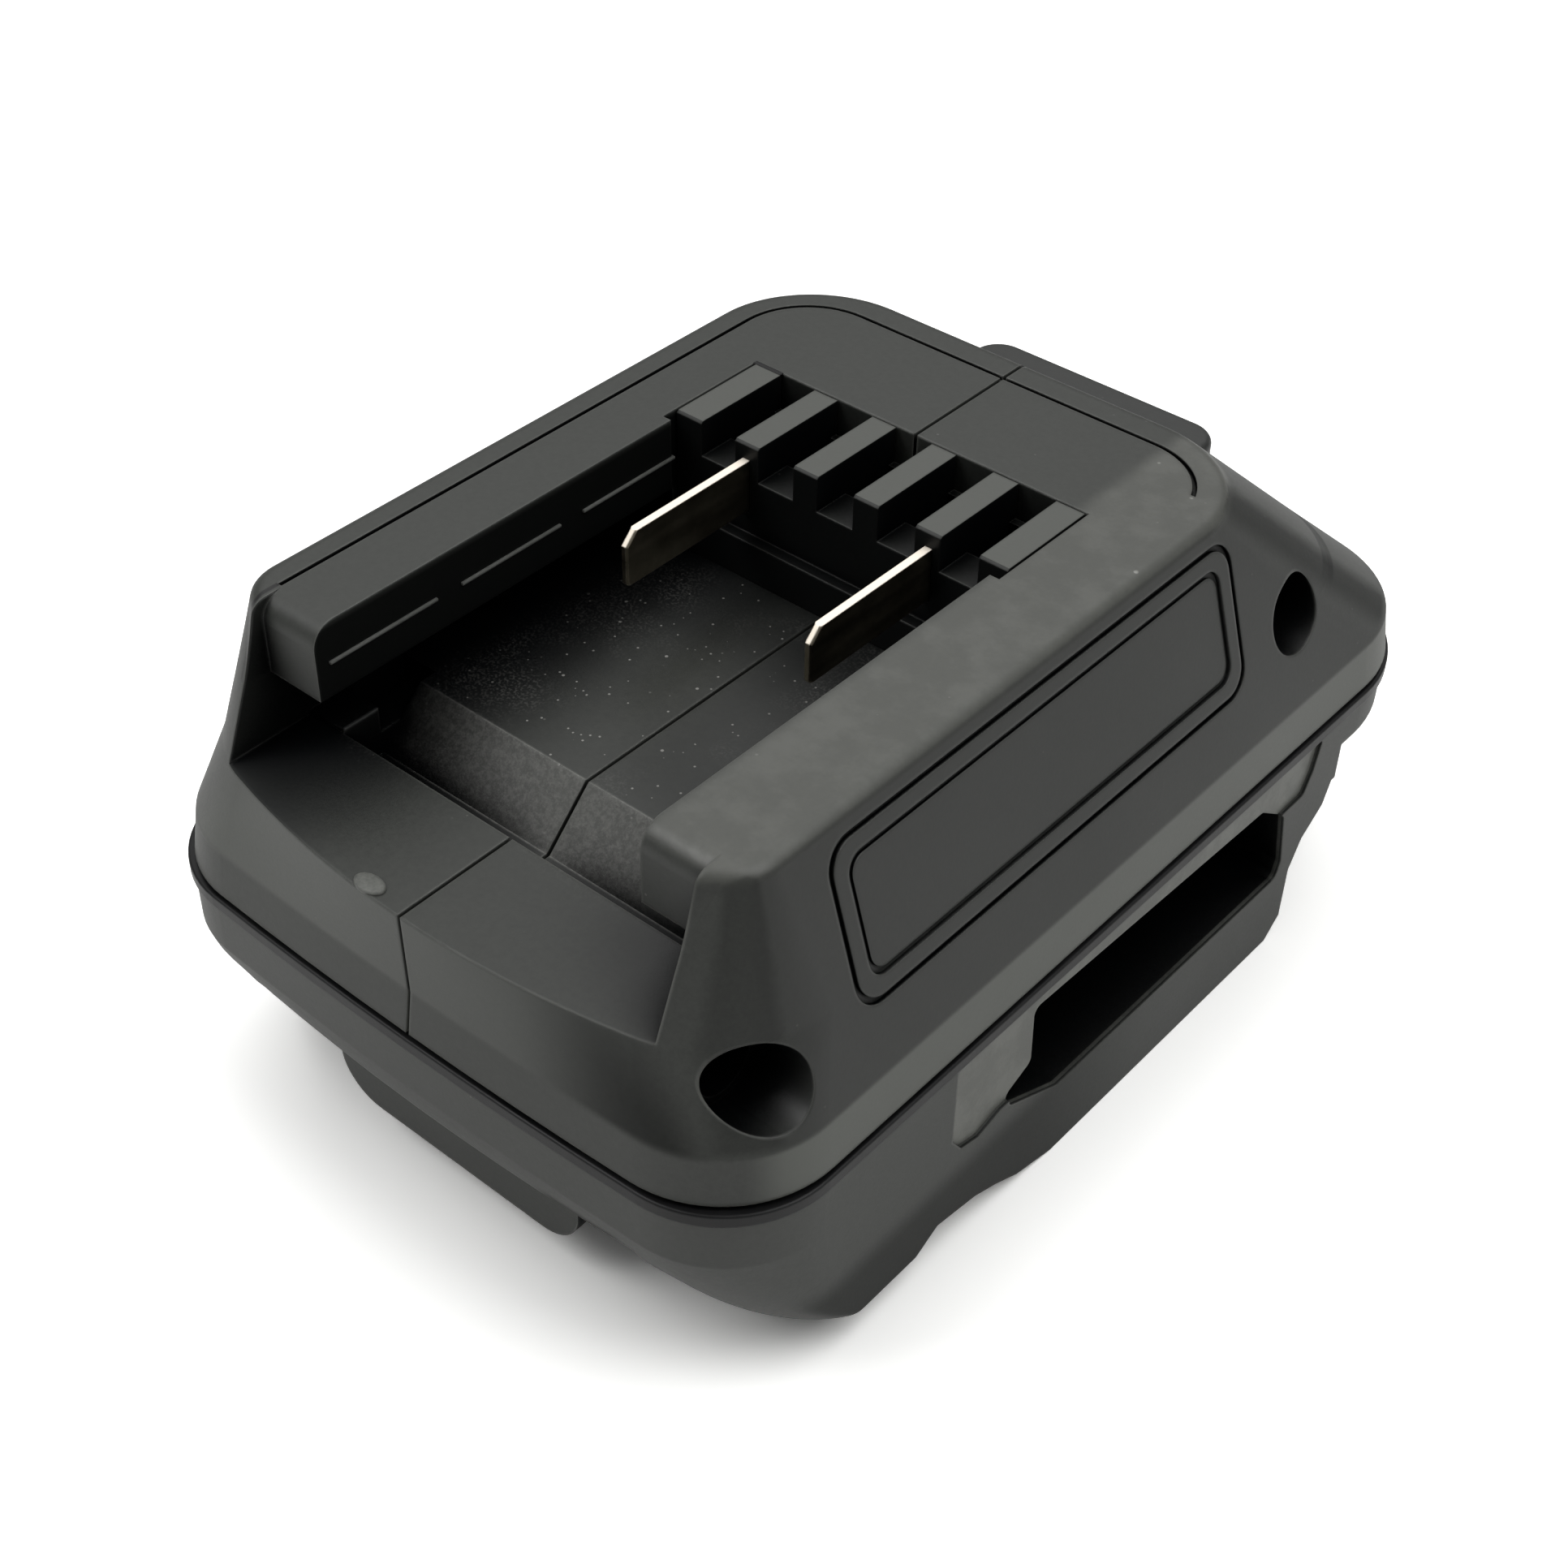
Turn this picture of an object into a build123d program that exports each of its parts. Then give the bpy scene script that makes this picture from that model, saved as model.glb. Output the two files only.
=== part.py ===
from build123d import *
import math
import os

os.makedirs("parts", exist_ok=True)

# All lengths are millimetres. The model is drawn with its front edge at Y = 0 and the
# parting plane between upper and lower casing at Z = 0, and each piece is moved at the
# end so that the adapter stands on its rail blocks with its centre over the origin.
# A size called a set is counted forwards from what it follows, and a drop downwards.

# Overall body
body_width = 80.0
body_length = 122.0
upper_height = 30.4
lower_depth = 29.5
wall = 2.4
overrun = 1.0
fit_gap = 0.1
running_gap = 0.3

# Plan outline of the parting plane
base_bow_radius = 560.0
base_corner = 13.0
base_rear_corner = 16.6
lower_corner = 12.0

# Plan outlines of the upper casing at its chin and at its top
band_height = 5.0
band_draft = 0.8
chin_front = 0.6
chin_bow_radius = 110.0
chin_corner = 14.0
top_width = 63.0
top_front = 0.5
top_bow_radius = 46.4
top_corner = 5.0
top_rear_set = 29.8
top_rear_corner = 13.5
rear_wall = 3.6
ceiling_wall = 3.5
top_edge_round = 1.6

# Seams
seam_gap = 0.4
parting_gap = 1.9

# Battery channel
channel_width = 55.4
mouth_width = 41.0
channel_depth = 15.4
entry_step = 0.5
lip_thickness = 8.4
lip_front = 10.6
lip_nose_round = 2.6
groove_set = 0.6
floor_wall = 2.2
pillar_end = 18.0

# Latch pocket with its ramp
pocket_width = 46.0
pocket_front = 14.6
pocket_drop = 5.6
ramp_foot = 19.1
ramp_top = 24.7
side_recess_end = 26.8
side_recess_depth = 3.0

# Guide ribs on the channel walls
guide_rib_reach = 1.4
guide_rib_rise = 4.3
guide_rib_height = 1.1
guide_rib_start = 16.0
guide_rib_length = 13.6
guide_rib_pitch = 15.2
guide_rib_count = 3

# Terminal comb
comb_width = 42.6
comb_set = 14.6
comb_length = 12.6
comb_foot_reach = 1.5
comb_foot_height = 4.7
comb_ledge_drop = 4.1
comb_well_start = 4.6
comb_well_rise = 3.0
comb_well_back_wall = 1.0
finger_width = 3.1
finger_pitch = 7.8
finger_count = 4
side_finger_width = 3.4
finger_chamfer = 0.25

# Input blades
blade_offset = 11.8
blade_thickness = 0.9
blade_rise = 7.3
blade_height = 6.2
blade_reach = 18.2
blade_nose = 1.4
blade_nose_round = 0.6
blade_tail_reach = 6.6
blade_tail_height = 4.1
blade_edge = 0.2

# Decorative line round the top plate
line_width = 0.5
line_depth = 0.5
line_inset = 3.1
line_rear_inset = 3.3
line_corner = 9.0
line_front = 13.4
line_stop_x = 12.0
line_stop_set = 9.0

# Framed panel on each side wall
panel_length_share = 0.5115
panel_centre_share = 0.423
panel_height = 17.4
panel_drop = 10.5
panel_corner = 3.2
panel_groove = 0.6
panel_bead = 1.7
panel_depth = 0.5
panel_field_depth = 0.2

# Side screws that clamp the two upper halves
side_screw_front_y = 9.4
side_screw_front_drop = 19.9
side_screw_rear_set = 29.4
side_screw_rear_drop = 15.5
side_screw_bore = 4.2
side_screw_bore_depth = 9.0
side_screw_throat = 3.3
side_screw_seat_depth = 16.0
side_screw_tip = 8.0
screw_head_radius = 2.8
screw_head_height = 2.2
screw_head_round = 0.7
screw_radius = 1.5
screw_clearance = 0.2
screw_drive_radius = 1.2
screw_drive_depth = 1.2
screw_drive_width = 0.8
boss_radius = 3.2
boss_floor = 1.4
boss_web = 2.0

# Base screws that hold the lower casing
base_screw_front_inset = 5.8
base_screw_front_y = 21.5
base_screw_rear_inset = 18.5
base_screw_rear_set = 24.0
base_screw_seat = 4.0
base_screw_reach = 8.0
base_screw_bore = 3.3
base_screw_sleeve = 4.9

# Lower casing
tray_depth = 11.2
tray_cavity_inset = 11.5
rim_depth = 8.0
rim_rear_round = 2.0
keel_inset = 13.0
keel_rear_set = 10.0
keel_round = 3.0
skirt_inset = 13.2
skirt_bow_radius = 94.7
skirt_front = 8.5
skirt_corner = 3.0
skirt_depth = 25.5
# How far down and how far back the leaning front is, between the rim and the feet of the skirts
lean_shares = [(0.22, 0.10), (0.52, 0.38)]
lean_bow_power = 0.25
# Side view of a skirt and its rail block, as shares of the body's length and lower depth
skirt_side_shares = [
    (0.225, 0.864), (0.252, 0.803), (0.303, 0.841), (0.333, 0.888), (0.364, 0.949),
    (0.414, 1.000), (0.757, 1.000), (0.778, 0.922), (0.779, 0.688), (0.794, 0.569),
    (0.824, 0.478), (0.834, 0.373), (0.839, 0.272),
]

# Pocket window in each side, as shares of the body's length and lower depth
window_depth = 9.0
window_corner = 1.0
window_shares = [
    (0.369, 0.156), (0.712, 0.227), (0.748, 0.332), (0.760, 0.590), (0.755, 0.664),
    (0.411, 0.651), (0.379, 0.590), (0.328, 0.492), (0.372, 0.414),
]
# Shallow plate recess round the window
plate_depth = 0.5
plate_corner = 0.6
plate_shares = [
    (0.263, 0.085), (0.263, 0.424), (0.276, 0.500), (0.299, 0.525), (0.328, 0.492),
    (0.372, 0.492), (0.748, 0.315), (0.779, 0.312), (0.790, 0.224), (0.798, 0.085),
]

# Terminal tower under the front
tower_width = 33.8
tower_x = -1.1
tower_front = 5.3
tower_back = 41.0
tower_depth = 24.0
tower_corner = 5.2
tower_slot_width = 1.8
tower_slot_length = 11.0

# Gasket in the parting gap
gasket_inset = 0.9
gasket_width = 1.5
bead_reach = 0.4
bead_drop = 0.5
bead_round = 0.25

# Output clips and their holder
clip_offset = 8.0
clip_y = 23.0
clip_length = 8.4
clip_thickness = 0.6
clip_spread = 1.5
clip_pinch = 0.35
clip_top = 10.4
clip_mouth = 20.9
clip_neck = 17.4
clip_tail_width = 3.0
holder_length = 19.0
holder_top = 13.4
holder_slot_width = 4.6

# Circuit board
board_inset = 16.0
board_front = 12.6
board_set = 2.2
board_thickness = 1.6
board_top = -3.0
board_corner = 2.0
standoff_radius = 3.0
standoff_inset = 4.0
standoff_front_set = 37.4
standoff_rear_set = 5.4
board_screw_radius = 1.2
board_screw_head_radius = 2.4
board_screw_head_height = 1.5
board_screw_length = 5.6
board_screw_edge = 0.5

# Parts on the board, those with a share counted along it from its front
capacitor_radius = 4.0
capacitor_room = 4.8
capacitor_x = 13.5
capacitor_share = 0.641
capacitor_groove_height = 1.6
capacitor_groove_depth = 0.4
choke_radius = 5.4
choke_ring = 2.1
choke_share = 0.449
transistor_width = 10.0
transistor_length = 9.0
transistor_height = 4.2
transistor_x = 7.6
transistor_set = 14.4
transistor_tab_length = 3.0
transistor_tab_thickness = 1.2
transistor_edge = 0.4
chip_width = 6.0
chip_length = 8.0
chip_height = 1.7
chip_x = 12.4
chip_share = 0.449
chip_leg_reach = 1.1
chip_leg_width = 0.5
chip_leg_pitch = 1.9
chip_leg_height = 0.6
chip_leg_count = 4

# Leads from the blades to the board
lead_radius = 1.1
lead_grip = 3.2
lead_rear_set = 0.4
lead_bend = 2.8
lead_rise = 10.1
lead_end_set = 6.4

# Release button, carriage and hook
button_width = 31.8
button_drop = 9.8
button_height = 5.6
button_face_set = 12.5
button_depth = 8.3
button_corner = 3.6
button_edge = 0.9
button_grip_count = 3
button_grip_width = 0.6
button_grip_depth = 0.5
button_grip_pitch = 1.4
button_root_width = 28.0
button_root_height = 8.0
button_root_length = 4.6
latch_travel = 4.0
carriage_width = 28.0
carriage_thickness = 3.0
carriage_drop = 4.0
carriage_foot_length = 6.4
carriage_foot_height = 2.2
carriage_lift = 0.2
hook_width = 16.0
hook_thickness = 4.0
hook_depth = 20.0
hook_nose = 4.0
hook_nose_height = 5.0
hook_head_thickness = 1.4
hook_screw_radius = 1.0
hook_screw_head_radius = 1.9
hook_screw_head_height = 1.2
hook_screw_length = 3.0
hook_screw_x = 5.0
guide_width = 2.0
guide_height = 4.0

# Latch springs
spring_x = 9.0
spring_z = 2.0
spring_radius = 2.5
spring_wire = 0.4
spring_turns = 5
spring_post_radius = 1.6
spring_post_length = 2.5
spring_rib_set = 13.2
spring_rib_thickness = 2.4
spring_rib_width = 30.0
spring_rib_top = 8.0

# Sizes that follow from the ones above: widths
half_width = body_width / 2
half_top = top_width / 2
half_band = half_width - band_draft
side_slope = (half_band - half_top) / (upper_height - band_height)
comb_pocket_width = comb_width + 2 * running_gap
side_screw_seat = half_width - side_screw_seat_depth
skirt_inner = half_width - skirt_inset
keel_width = body_width - 2 * keel_inset
board_width = body_width - 2 * board_inset
standoff_x = board_width / 2 - standoff_inset

# Sizes that follow: heights
channel_floor = upper_height - channel_depth
chin_height = channel_floor - entry_step
lip_underside = upper_height - lip_thickness
pocket_floor = channel_floor - pocket_drop
comb_ledge = upper_height - comb_ledge_drop
blade_bottom = channel_floor + blade_rise
button_top = upper_height - button_drop
button_bottom = button_top - button_height
button_root_bottom = button_bottom - button_root_height
carriage_top = button_bottom - carriage_drop
capacitor_height = channel_floor - floor_wall - board_top - capacitor_room
board_bottom = board_top - board_thickness
tray_inside = -tray_depth + wall

# Sizes that follow: places along the length
top_rear = body_length - top_rear_set
button_face = body_length - button_face_set
button_back = button_face - button_depth
carriage_front = button_back - carriage_thickness
spring_rib_back = button_back - spring_rib_set
comb_back = spring_rib_back - comb_set
comb_front = comb_back - comb_length
comb_foot_front = comb_front - comb_foot_reach
comb_pocket_back = comb_back + running_gap
blade_front = comb_front - blade_reach
blade_tail_end = comb_back + blade_tail_reach
board_rear = spring_rib_back - spring_rib_thickness - board_set

# Sizes that follow: the shape of the upper casing
half_chin = half_band - side_slope * (chin_height - band_height)
rear_slope = (body_length - band_draft - top_rear) / (upper_height - band_height)
chin_rear = body_length - band_draft - rear_slope * (chin_height - band_height)
placed = Pos(0, -body_length / 2, lower_depth)


def block(x0, x1, y0, y1, z0, z1):
    # Rectangular block between two corners
    return Pos((x0 + x1) / 2, (y0 + y1) / 2, (z0 + z1) / 2) * Box(x1 - x0, y1 - y0, z1 - z0)


def centred(width, y0, y1, z0, z1):
    # Block that is symmetric about the middle plane
    return block(-width / 2, width / 2, y0, y1, z0, z1)


def rod_x(radius, x0, x1, y, z):
    # Cylinder along X
    return Pos((x0 + x1) / 2, y, z) * Rot(0, 90, 0) * Cylinder(radius, x1 - x0)


def rod_y(radius, x, y0, y1, z):
    # Cylinder along Y
    return Pos(x, (y0 + y1) / 2, z) * Rot(90, 0, 0) * Cylinder(radius, y1 - y0)


def rod_z(radius, x, y, z0, z1):
    # Cylinder along Z
    return Pos(x, y, (z0 + z1) / 2) * Cylinder(radius, z1 - z0)


def both_sides(piece):
    # The piece and its mirror image across the middle plane
    return piece + mirror(piece, about=Plane.YZ)


def plan(half, front, bow_radius, corner, rear, rear_corner):
    # Plan outline: a bowed front, two front corners, straight sides and a rounded rear
    corner_x = half - corner
    corner_y = front + bow_radius - math.sqrt((bow_radius - corner) ** 2 - corner_x ** 2)
    reach = bow_radius / (bow_radius - corner)
    touch_x = corner_x * reach
    touch_y = front + bow_radius - (front + bow_radius - corner_y) * reach
    middle = math.atan2(touch_y - corner_y, touch_x - corner_x) / 2
    middle_x = corner_x + corner * math.cos(middle)
    middle_y = corner_y + corner * math.sin(middle)
    turn = rear_corner * math.sqrt(0.5)
    turn_x = half - rear_corner + turn
    turn_y = rear - rear_corner + turn
    side_end = rear - rear_corner
    rear_x = half - rear_corner
    edges = [
        ThreePointArc((-touch_x, touch_y), (0, front), (touch_x, touch_y)),
        ThreePointArc((touch_x, touch_y), (middle_x, middle_y), (half, corner_y)),
        Line((half, corner_y), (half, side_end)),
        ThreePointArc((half, side_end), (turn_x, turn_y), (rear_x, rear)),
        Line((rear_x, rear), (-rear_x, rear)),
        ThreePointArc((-rear_x, rear), (-turn_x, turn_y), (-half, side_end)),
        Line((-half, side_end), (-half, corner_y)),
        ThreePointArc((-half, corner_y), (-middle_x, middle_y), (-touch_x, touch_y)),
    ]
    return make_face(edges)


def base_plan(inset=0, rear_inset=0, corner=base_corner):
    # Outline of the parting plane, drawn in by the given amount
    return plan(half_width - inset, inset, base_bow_radius, corner - inset,
                body_length - rear_inset, base_rear_corner - inset)


def chin_plan(inset=0, rear_inset=0):
    # Outline at the height of the channel's entry
    corner_share = (chin_height - band_height) / (upper_height - band_height)
    rear_corner = base_rear_corner + (top_rear_corner - base_rear_corner) * corner_share
    return plan(half_chin - inset, chin_front + inset, chin_bow_radius - inset, chin_corner - inset,
                chin_rear - rear_inset, rear_corner - inset)


def top_plan(inset=0, rear_inset=0):
    # Outline at the top of the upper casing
    return plan(half_top - inset, top_front + inset, top_bow_radius - inset, top_corner,
                top_rear - rear_inset, top_rear_corner - inset)


def leaning_walls(inset, rear_inset):
    # Body between the band and the top, its front drawn in at the chin
    sections = [Pos(0, 0, band_height) * base_plan(band_draft + inset, band_draft + rear_inset),
                Pos(0, 0, chin_height) * chin_plan(inset, rear_inset),
                Pos(0, 0, upper_height) * top_plan(inset, rear_inset)]
    return loft(sections, ruled=True)


def upper_form():
    # Outside of the upper casing: a steep band, then walls that lean in to the top
    band = loft([base_plan(), Pos(0, 0, band_height) * base_plan(band_draft, band_draft)], ruled=True)
    form = band + leaning_walls(0, 0)
    rim = form.faces().sort_by(Axis.Z)[-1].edges()
    return fillet(rim, top_edge_round)


def upper_cavity():
    # Inside of the upper casing, open at the parting plane
    inset = band_draft + wall
    lower = Pos(0, 0, -overrun) * extrude(base_plan(inset, inset), band_height + overrun)
    slope = leaning_walls(wall, rear_wall)
    ceiling = centred(body_width, 0, body_length, upper_height - ceiling_wall, upper_height + overrun)
    return lower + slope - ceiling


def channel_void():
    # Room for the battery foot: open mouth, undercut grooves, entry step and comb seat
    mouth = centred(mouth_width, -overrun, comb_pocket_back, channel_floor, upper_height + overrun)
    grooves = centred(channel_width, pocket_front, comb_front - groove_set, channel_floor, lip_underside)
    entry = centred(channel_width, -overrun, pocket_front, chin_height, lip_underside)
    entry_top = centred(channel_width, -overrun, lip_front, chin_height, upper_height + overrun)
    seat = centred(comb_pocket_width, comb_foot_front - running_gap, comb_pocket_back,
                   channel_floor, upper_height + overrun)
    pocket_side = make_face(Polyline(
        (pocket_front, pocket_floor), (ramp_foot, pocket_floor), (ramp_top, channel_floor),
        (ramp_top, channel_floor + overrun), (pocket_front, channel_floor + overrun), close=True))
    pocket = extrude(Plane.YZ * pocket_side, pocket_width / 2, both=True)
    shelf = centred(channel_width, ramp_foot, side_recess_end, channel_floor - side_recess_depth,
                    channel_floor + overrun)
    shelf -= centred(pocket_width, 0, body_length, 0, upper_height)
    return mouth + grooves + entry + entry_top + seat + pocket + shelf


def nose_rounding():
    # What is taken off the front ends of the two lips to round them over
    centre_y = lip_front + lip_nose_round
    centre_z = upper_height - lip_nose_round
    corner = centred(channel_width, lip_front - overrun, centre_y, centre_z, upper_height + overrun)
    return corner - rod_x(lip_nose_round, -channel_width, channel_width, centre_y, centre_z)


def guide_ribs():
    # Broken rib along the outer wall of each groove
    ribs = Part()
    bottom = channel_floor + guide_rib_rise
    for index in range(guide_rib_count):
        start = guide_rib_start + index * guide_rib_pitch
        ribs += block(channel_width / 2 - guide_rib_reach, channel_width / 2 + overrun,
                      start, start + guide_rib_length, bottom, bottom + guide_rib_height)
    return both_sides(ribs)


def channel_casing():
    # Floor, walls and front pillars that surround the channel inside the upper casing
    outer_width = channel_width + 2 * floor_wall
    trough = centred(outer_width, 0, comb_pocket_back + wall, channel_floor - floor_wall, upper_height)
    well = centred(outer_width, pocket_front - floor_wall, side_recess_end + floor_wall,
                   pocket_floor - floor_wall, channel_floor)
    pillars = centred(body_width, 0, pillar_end, channel_floor - floor_wall, upper_height)
    return trough + well + pillars


def panel_grooves():
    # Two thin frame lines with a bead between them and a sunken field, square to the right wall
    lean = math.degrees(math.atan(side_slope))
    centre_z = upper_height - panel_drop
    centre_x = half_band - (centre_z - band_height) * side_slope
    face = Plane(origin=(centre_x, panel_centre_share * body_length, centre_z), x_dir=(0, 1, 0),
                 z_dir=(math.cos(math.radians(lean)), 0, math.sin(math.radians(lean))))

    def outline(inset):
        return RectangleRounded(panel_length_share * body_length - 2 * inset, panel_height - 2 * inset,
                                panel_corner - inset / 2)
    inner = panel_groove + panel_bead
    grooves = extrude(face * outline(inner), panel_field_depth, both=True)
    for inset in (0, inner):
        ring = outline(inset) - outline(inset + panel_groove)
        grooves += extrude(face * ring, panel_depth, both=True)
    return grooves


def top_line():
    # Thin line cut round the top plate, left open along the right rail
    def ring(inset, rear_inset):
        return plan(half_top - inset, -overrun, top_bow_radius, top_corner,
                    top_rear - rear_inset, line_corner - inset + line_inset)
    outer = ring(line_inset, line_rear_inset)
    inner = ring(line_inset + line_width, line_rear_inset + line_width)
    line = Pos(0, 0, upper_height - line_depth) * extrude(outer - inner, line_depth + overrun)
    keep_clear = block(line_stop_x, body_width, -body_length, top_rear - line_stop_set,
                       0, upper_height + overrun)
    front_bar = centred(body_width, -body_length, line_front, 0, upper_height + overrun)
    return line - keep_clear - front_bar


def side_screw_places():
    front = (side_screw_front_y, upper_height - side_screw_front_drop)
    rear = (body_length - side_screw_rear_set, upper_height - side_screw_rear_drop)
    return [front, rear]


def base_screw_places():
    places = [(half_width - base_screw_front_inset, base_screw_front_y),
              (half_width - base_screw_rear_inset, body_length - base_screw_rear_set)]
    return [(sign * x, y) for sign in (-1, 1) for x, y in places]


def upper_bosses():
    # Cross bosses for the side screws and upright bosses for the base screws
    bosses = Part()
    for y, z in side_screw_places():
        bosses += rod_x(boss_radius, -side_screw_tip - boss_floor, half_width, y, z)
        bosses += rod_x(side_screw_throat + floor_wall, side_screw_seat - boss_floor, half_width, y, z)
        bosses += rod_x(side_screw_bore + floor_wall, half_width - side_screw_bore_depth - boss_floor,
                        half_width, y, z)
    y, z = side_screw_places()[1]
    bosses += block(-side_screw_tip - boss_floor, side_screw_seat, y - boss_web / 2, y + boss_web / 2,
                    z, upper_height)
    for x, y in base_screw_places():
        top = base_screw_reach + boss_floor if y < body_length / 2 else upper_height
        bosses += rod_z(boss_radius, x, y, 0, top)
    return bosses


def upper_screw_holes():
    # Counterbores, clearance holes and pilots of the upper casing
    holes = Part()
    for y, z in side_screw_places():
        holes += rod_x(side_screw_bore, half_width - side_screw_bore_depth, body_width, y, z)
        holes += rod_x(side_screw_throat, side_screw_seat, half_width, y, z)
        holes += rod_x(screw_radius + screw_clearance, 0, side_screw_seat, y, z)
        holes += rod_x(screw_radius + fit_gap / 2, -side_screw_tip, 0, y, z)
    for x, y in base_screw_places():
        holes += rod_z(screw_radius + fit_gap / 2, x, y, -parting_gap - overrun, base_screw_reach)
    return holes


def button_window():
    # Opening in the sloped rear wall for the release button
    return centred(button_width + 2 * running_gap, button_back - latch_travel, body_length + overrun,
                   button_bottom - running_gap, button_top + running_gap)


def blade_slots(y0, y1, height):
    # Slots for the two blades, with the fit clearance all round
    half = blade_thickness / 2 + fit_gap
    slots = block(blade_offset - half, blade_offset + half, y0, y1,
                  blade_bottom - fit_gap, blade_bottom + height + fit_gap)
    return both_sides(slots)


def upper_shell():
    # Whole upper casing, before it is split into its two halves
    form = upper_form()
    shell = form - upper_cavity()
    shell += channel_casing() & form
    shell += upper_bosses() & form
    for x, y in base_screw_places():
        shell += rod_z(boss_radius, x, y, -parting_gap, 0)
    shell -= channel_void()
    shell += guide_ribs() & form
    shell -= nose_rounding()
    shell -= upper_screw_holes()
    shell -= button_window()
    shell -= blade_slots(comb_back, comb_pocket_back + wall + overrun, blade_tail_height)
    shell -= both_sides(panel_grooves())
    shell -= top_line()
    return shell


def upper_half(shell, sign):
    # One half of the upper casing, with its share of the seam gap taken off
    inner = sign * seam_gap / 2
    outer = sign * body_width
    keep = block(min(inner, outer), max(inner, outer), -body_length, 2 * body_length,
                 -body_width, body_width)
    return shell & keep


def side_outline(shares):
    # Outline seen from the side, from shares of the body's length and lower depth
    return [(along * body_length, -down * lower_depth) for along, down in shares]


def front_hull():
    # Body whose front leans back, slowly at first, from the rim down to the feet of the skirts
    def section(down, lean):
        bow = base_bow_radius + (skirt_bow_radius - base_bow_radius) * lean ** lean_bow_power
        corner = lower_corner + (skirt_corner - lower_corner) * lean
        outline = plan(half_width, skirt_front * lean, bow, corner, body_length, base_rear_corner)
        return Pos(0, 0, -rim_depth - (skirt_depth - rim_depth) * down) * outline
    return loft([section(down, lean) for down, lean in [(0, 0), *lean_shares, (1, 1)]])


def skirt_block(hull):
    # Right skirt and rail block: the leaning front cut to the side outline
    points = side_outline(skirt_side_shares)
    hull += block(0, half_width, points[0][0], points[-1][0], -lower_depth, -rim_depth)
    toe = (points[0][0], -skirt_depth)
    heel = (points[-1][0], -rim_depth)
    edge = Polyline((0, -rim_depth), (0, -skirt_depth), toe, *points[1:-1], heel, close=True)
    side = extrude(Plane.YZ * make_face(edge), half_width)
    side -= block(0, skirt_inner, -overrun, body_length, -body_width, 0)
    return hull & side


def tower():
    # Terminal tower with rounded lower corners
    half = tower_width / 2
    corners = [(-half, 0), (half, 0), (half, -tower_depth), (-half, -tower_depth)]
    front = make_face(Polyline(*corners, close=True))
    front = fillet(front.vertices().sort_by(Axis.Y)[:2], tower_corner)
    body = extrude(Pos(tower_x, tower_back, 0) * Rot(90, 0, 0) * front, tower_back - tower_front)
    return body - centred(body_width, 0, body_length, -tray_depth + fit_gap, overrun)


def tray_form(hull):
    # Outside of the tray: a full-depth front, a shallow rim behind it and a keel between
    front_end = side_outline(skirt_side_shares)[-1][0]
    rim = Pos(0, 0, -rim_depth) * extrude(base_plan(corner=lower_corner), rim_depth - parting_gap)
    front = rim & centred(body_width, -overrun, front_end, -rim_depth, 0)
    front += hull & centred(body_width, -overrun, front_end, -tray_depth, -rim_depth)
    rim &= centred(body_width, front_end, body_length, -rim_depth, 0)
    low = [e for e in rim.edges() if abs(e.center().Z + rim_depth) < fit_gap
           and e.center().Y > front_end + fit_gap]
    rim = fillet(low, rim_rear_round)
    keel = centred(keel_width, front_end - keel_width, body_length - keel_rear_set, -tray_depth, -rim_depth)
    corner = keel.edges().filter_by(Axis.X).sort_by(Axis.Y)[-2:].sort_by(Axis.Z)[:1]
    return rim + front + fillet(corner, keel_round)


def lower_cavity():
    # Room for the board in the tray, for the latch in the keel and for the clips in the tower
    front_end = side_outline(skirt_side_shares)[-1][0]
    inside = Pos(0, 0, -tray_depth) * extrude(base_plan(wall, wall, lower_corner), tray_depth + overrun)
    tray = centred(body_width - 2 * tray_cavity_inset, wall, front_end - wall, tray_inside, overrun)
    keel = centred(keel_width - 2 * wall, wall, body_length - keel_rear_set - wall, tray_inside, overrun)
    rim = centred(body_width, front_end - wall, body_length, -rim_depth + wall, overrun)
    half = tower_width / 2 - wall
    well = block(tower_x - half, tower_x + half, tower_front + wall, tower_back - wall,
                 -tower_depth + wall, overrun)
    return (tray + keel + rim & inside) + well


def standoff_places():
    rows = (board_rear - standoff_front_set, board_rear - standoff_rear_set)
    return [(x, y) for x in (-standoff_x, standoff_x) for y in rows]


def clip_places():
    return [tower_x - clip_offset, tower_x + clip_offset]


def spring_posts(y0, y1):
    return both_sides(rod_y(spring_post_radius, spring_x, y0, y1, spring_z))


def lower_fittings():
    # Standoffs for the board, rib behind the springs and guides beside the carriage
    fittings = Part()
    for x, y in standoff_places():
        fittings += rod_z(standoff_radius, x, y, tray_inside, board_bottom)
    for x, y in base_screw_places():
        if y > body_length / 2:
            fittings += rod_z(base_screw_sleeve, x, y, tray_inside, -parting_gap)
    fittings += centred(spring_rib_width, spring_rib_back - spring_rib_thickness, spring_rib_back,
                        tray_inside, spring_rib_top)
    fittings += spring_posts(spring_rib_back - spring_rib_thickness / 2,
                             spring_rib_back + spring_post_length)
    inner = carriage_width / 2 + running_gap
    fittings += both_sides(block(inner, inner + guide_width, spring_rib_back,
                                 carriage_front + carriage_thickness + carriage_foot_length,
                                 tray_inside, tray_inside + guide_height))
    return fittings


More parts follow.
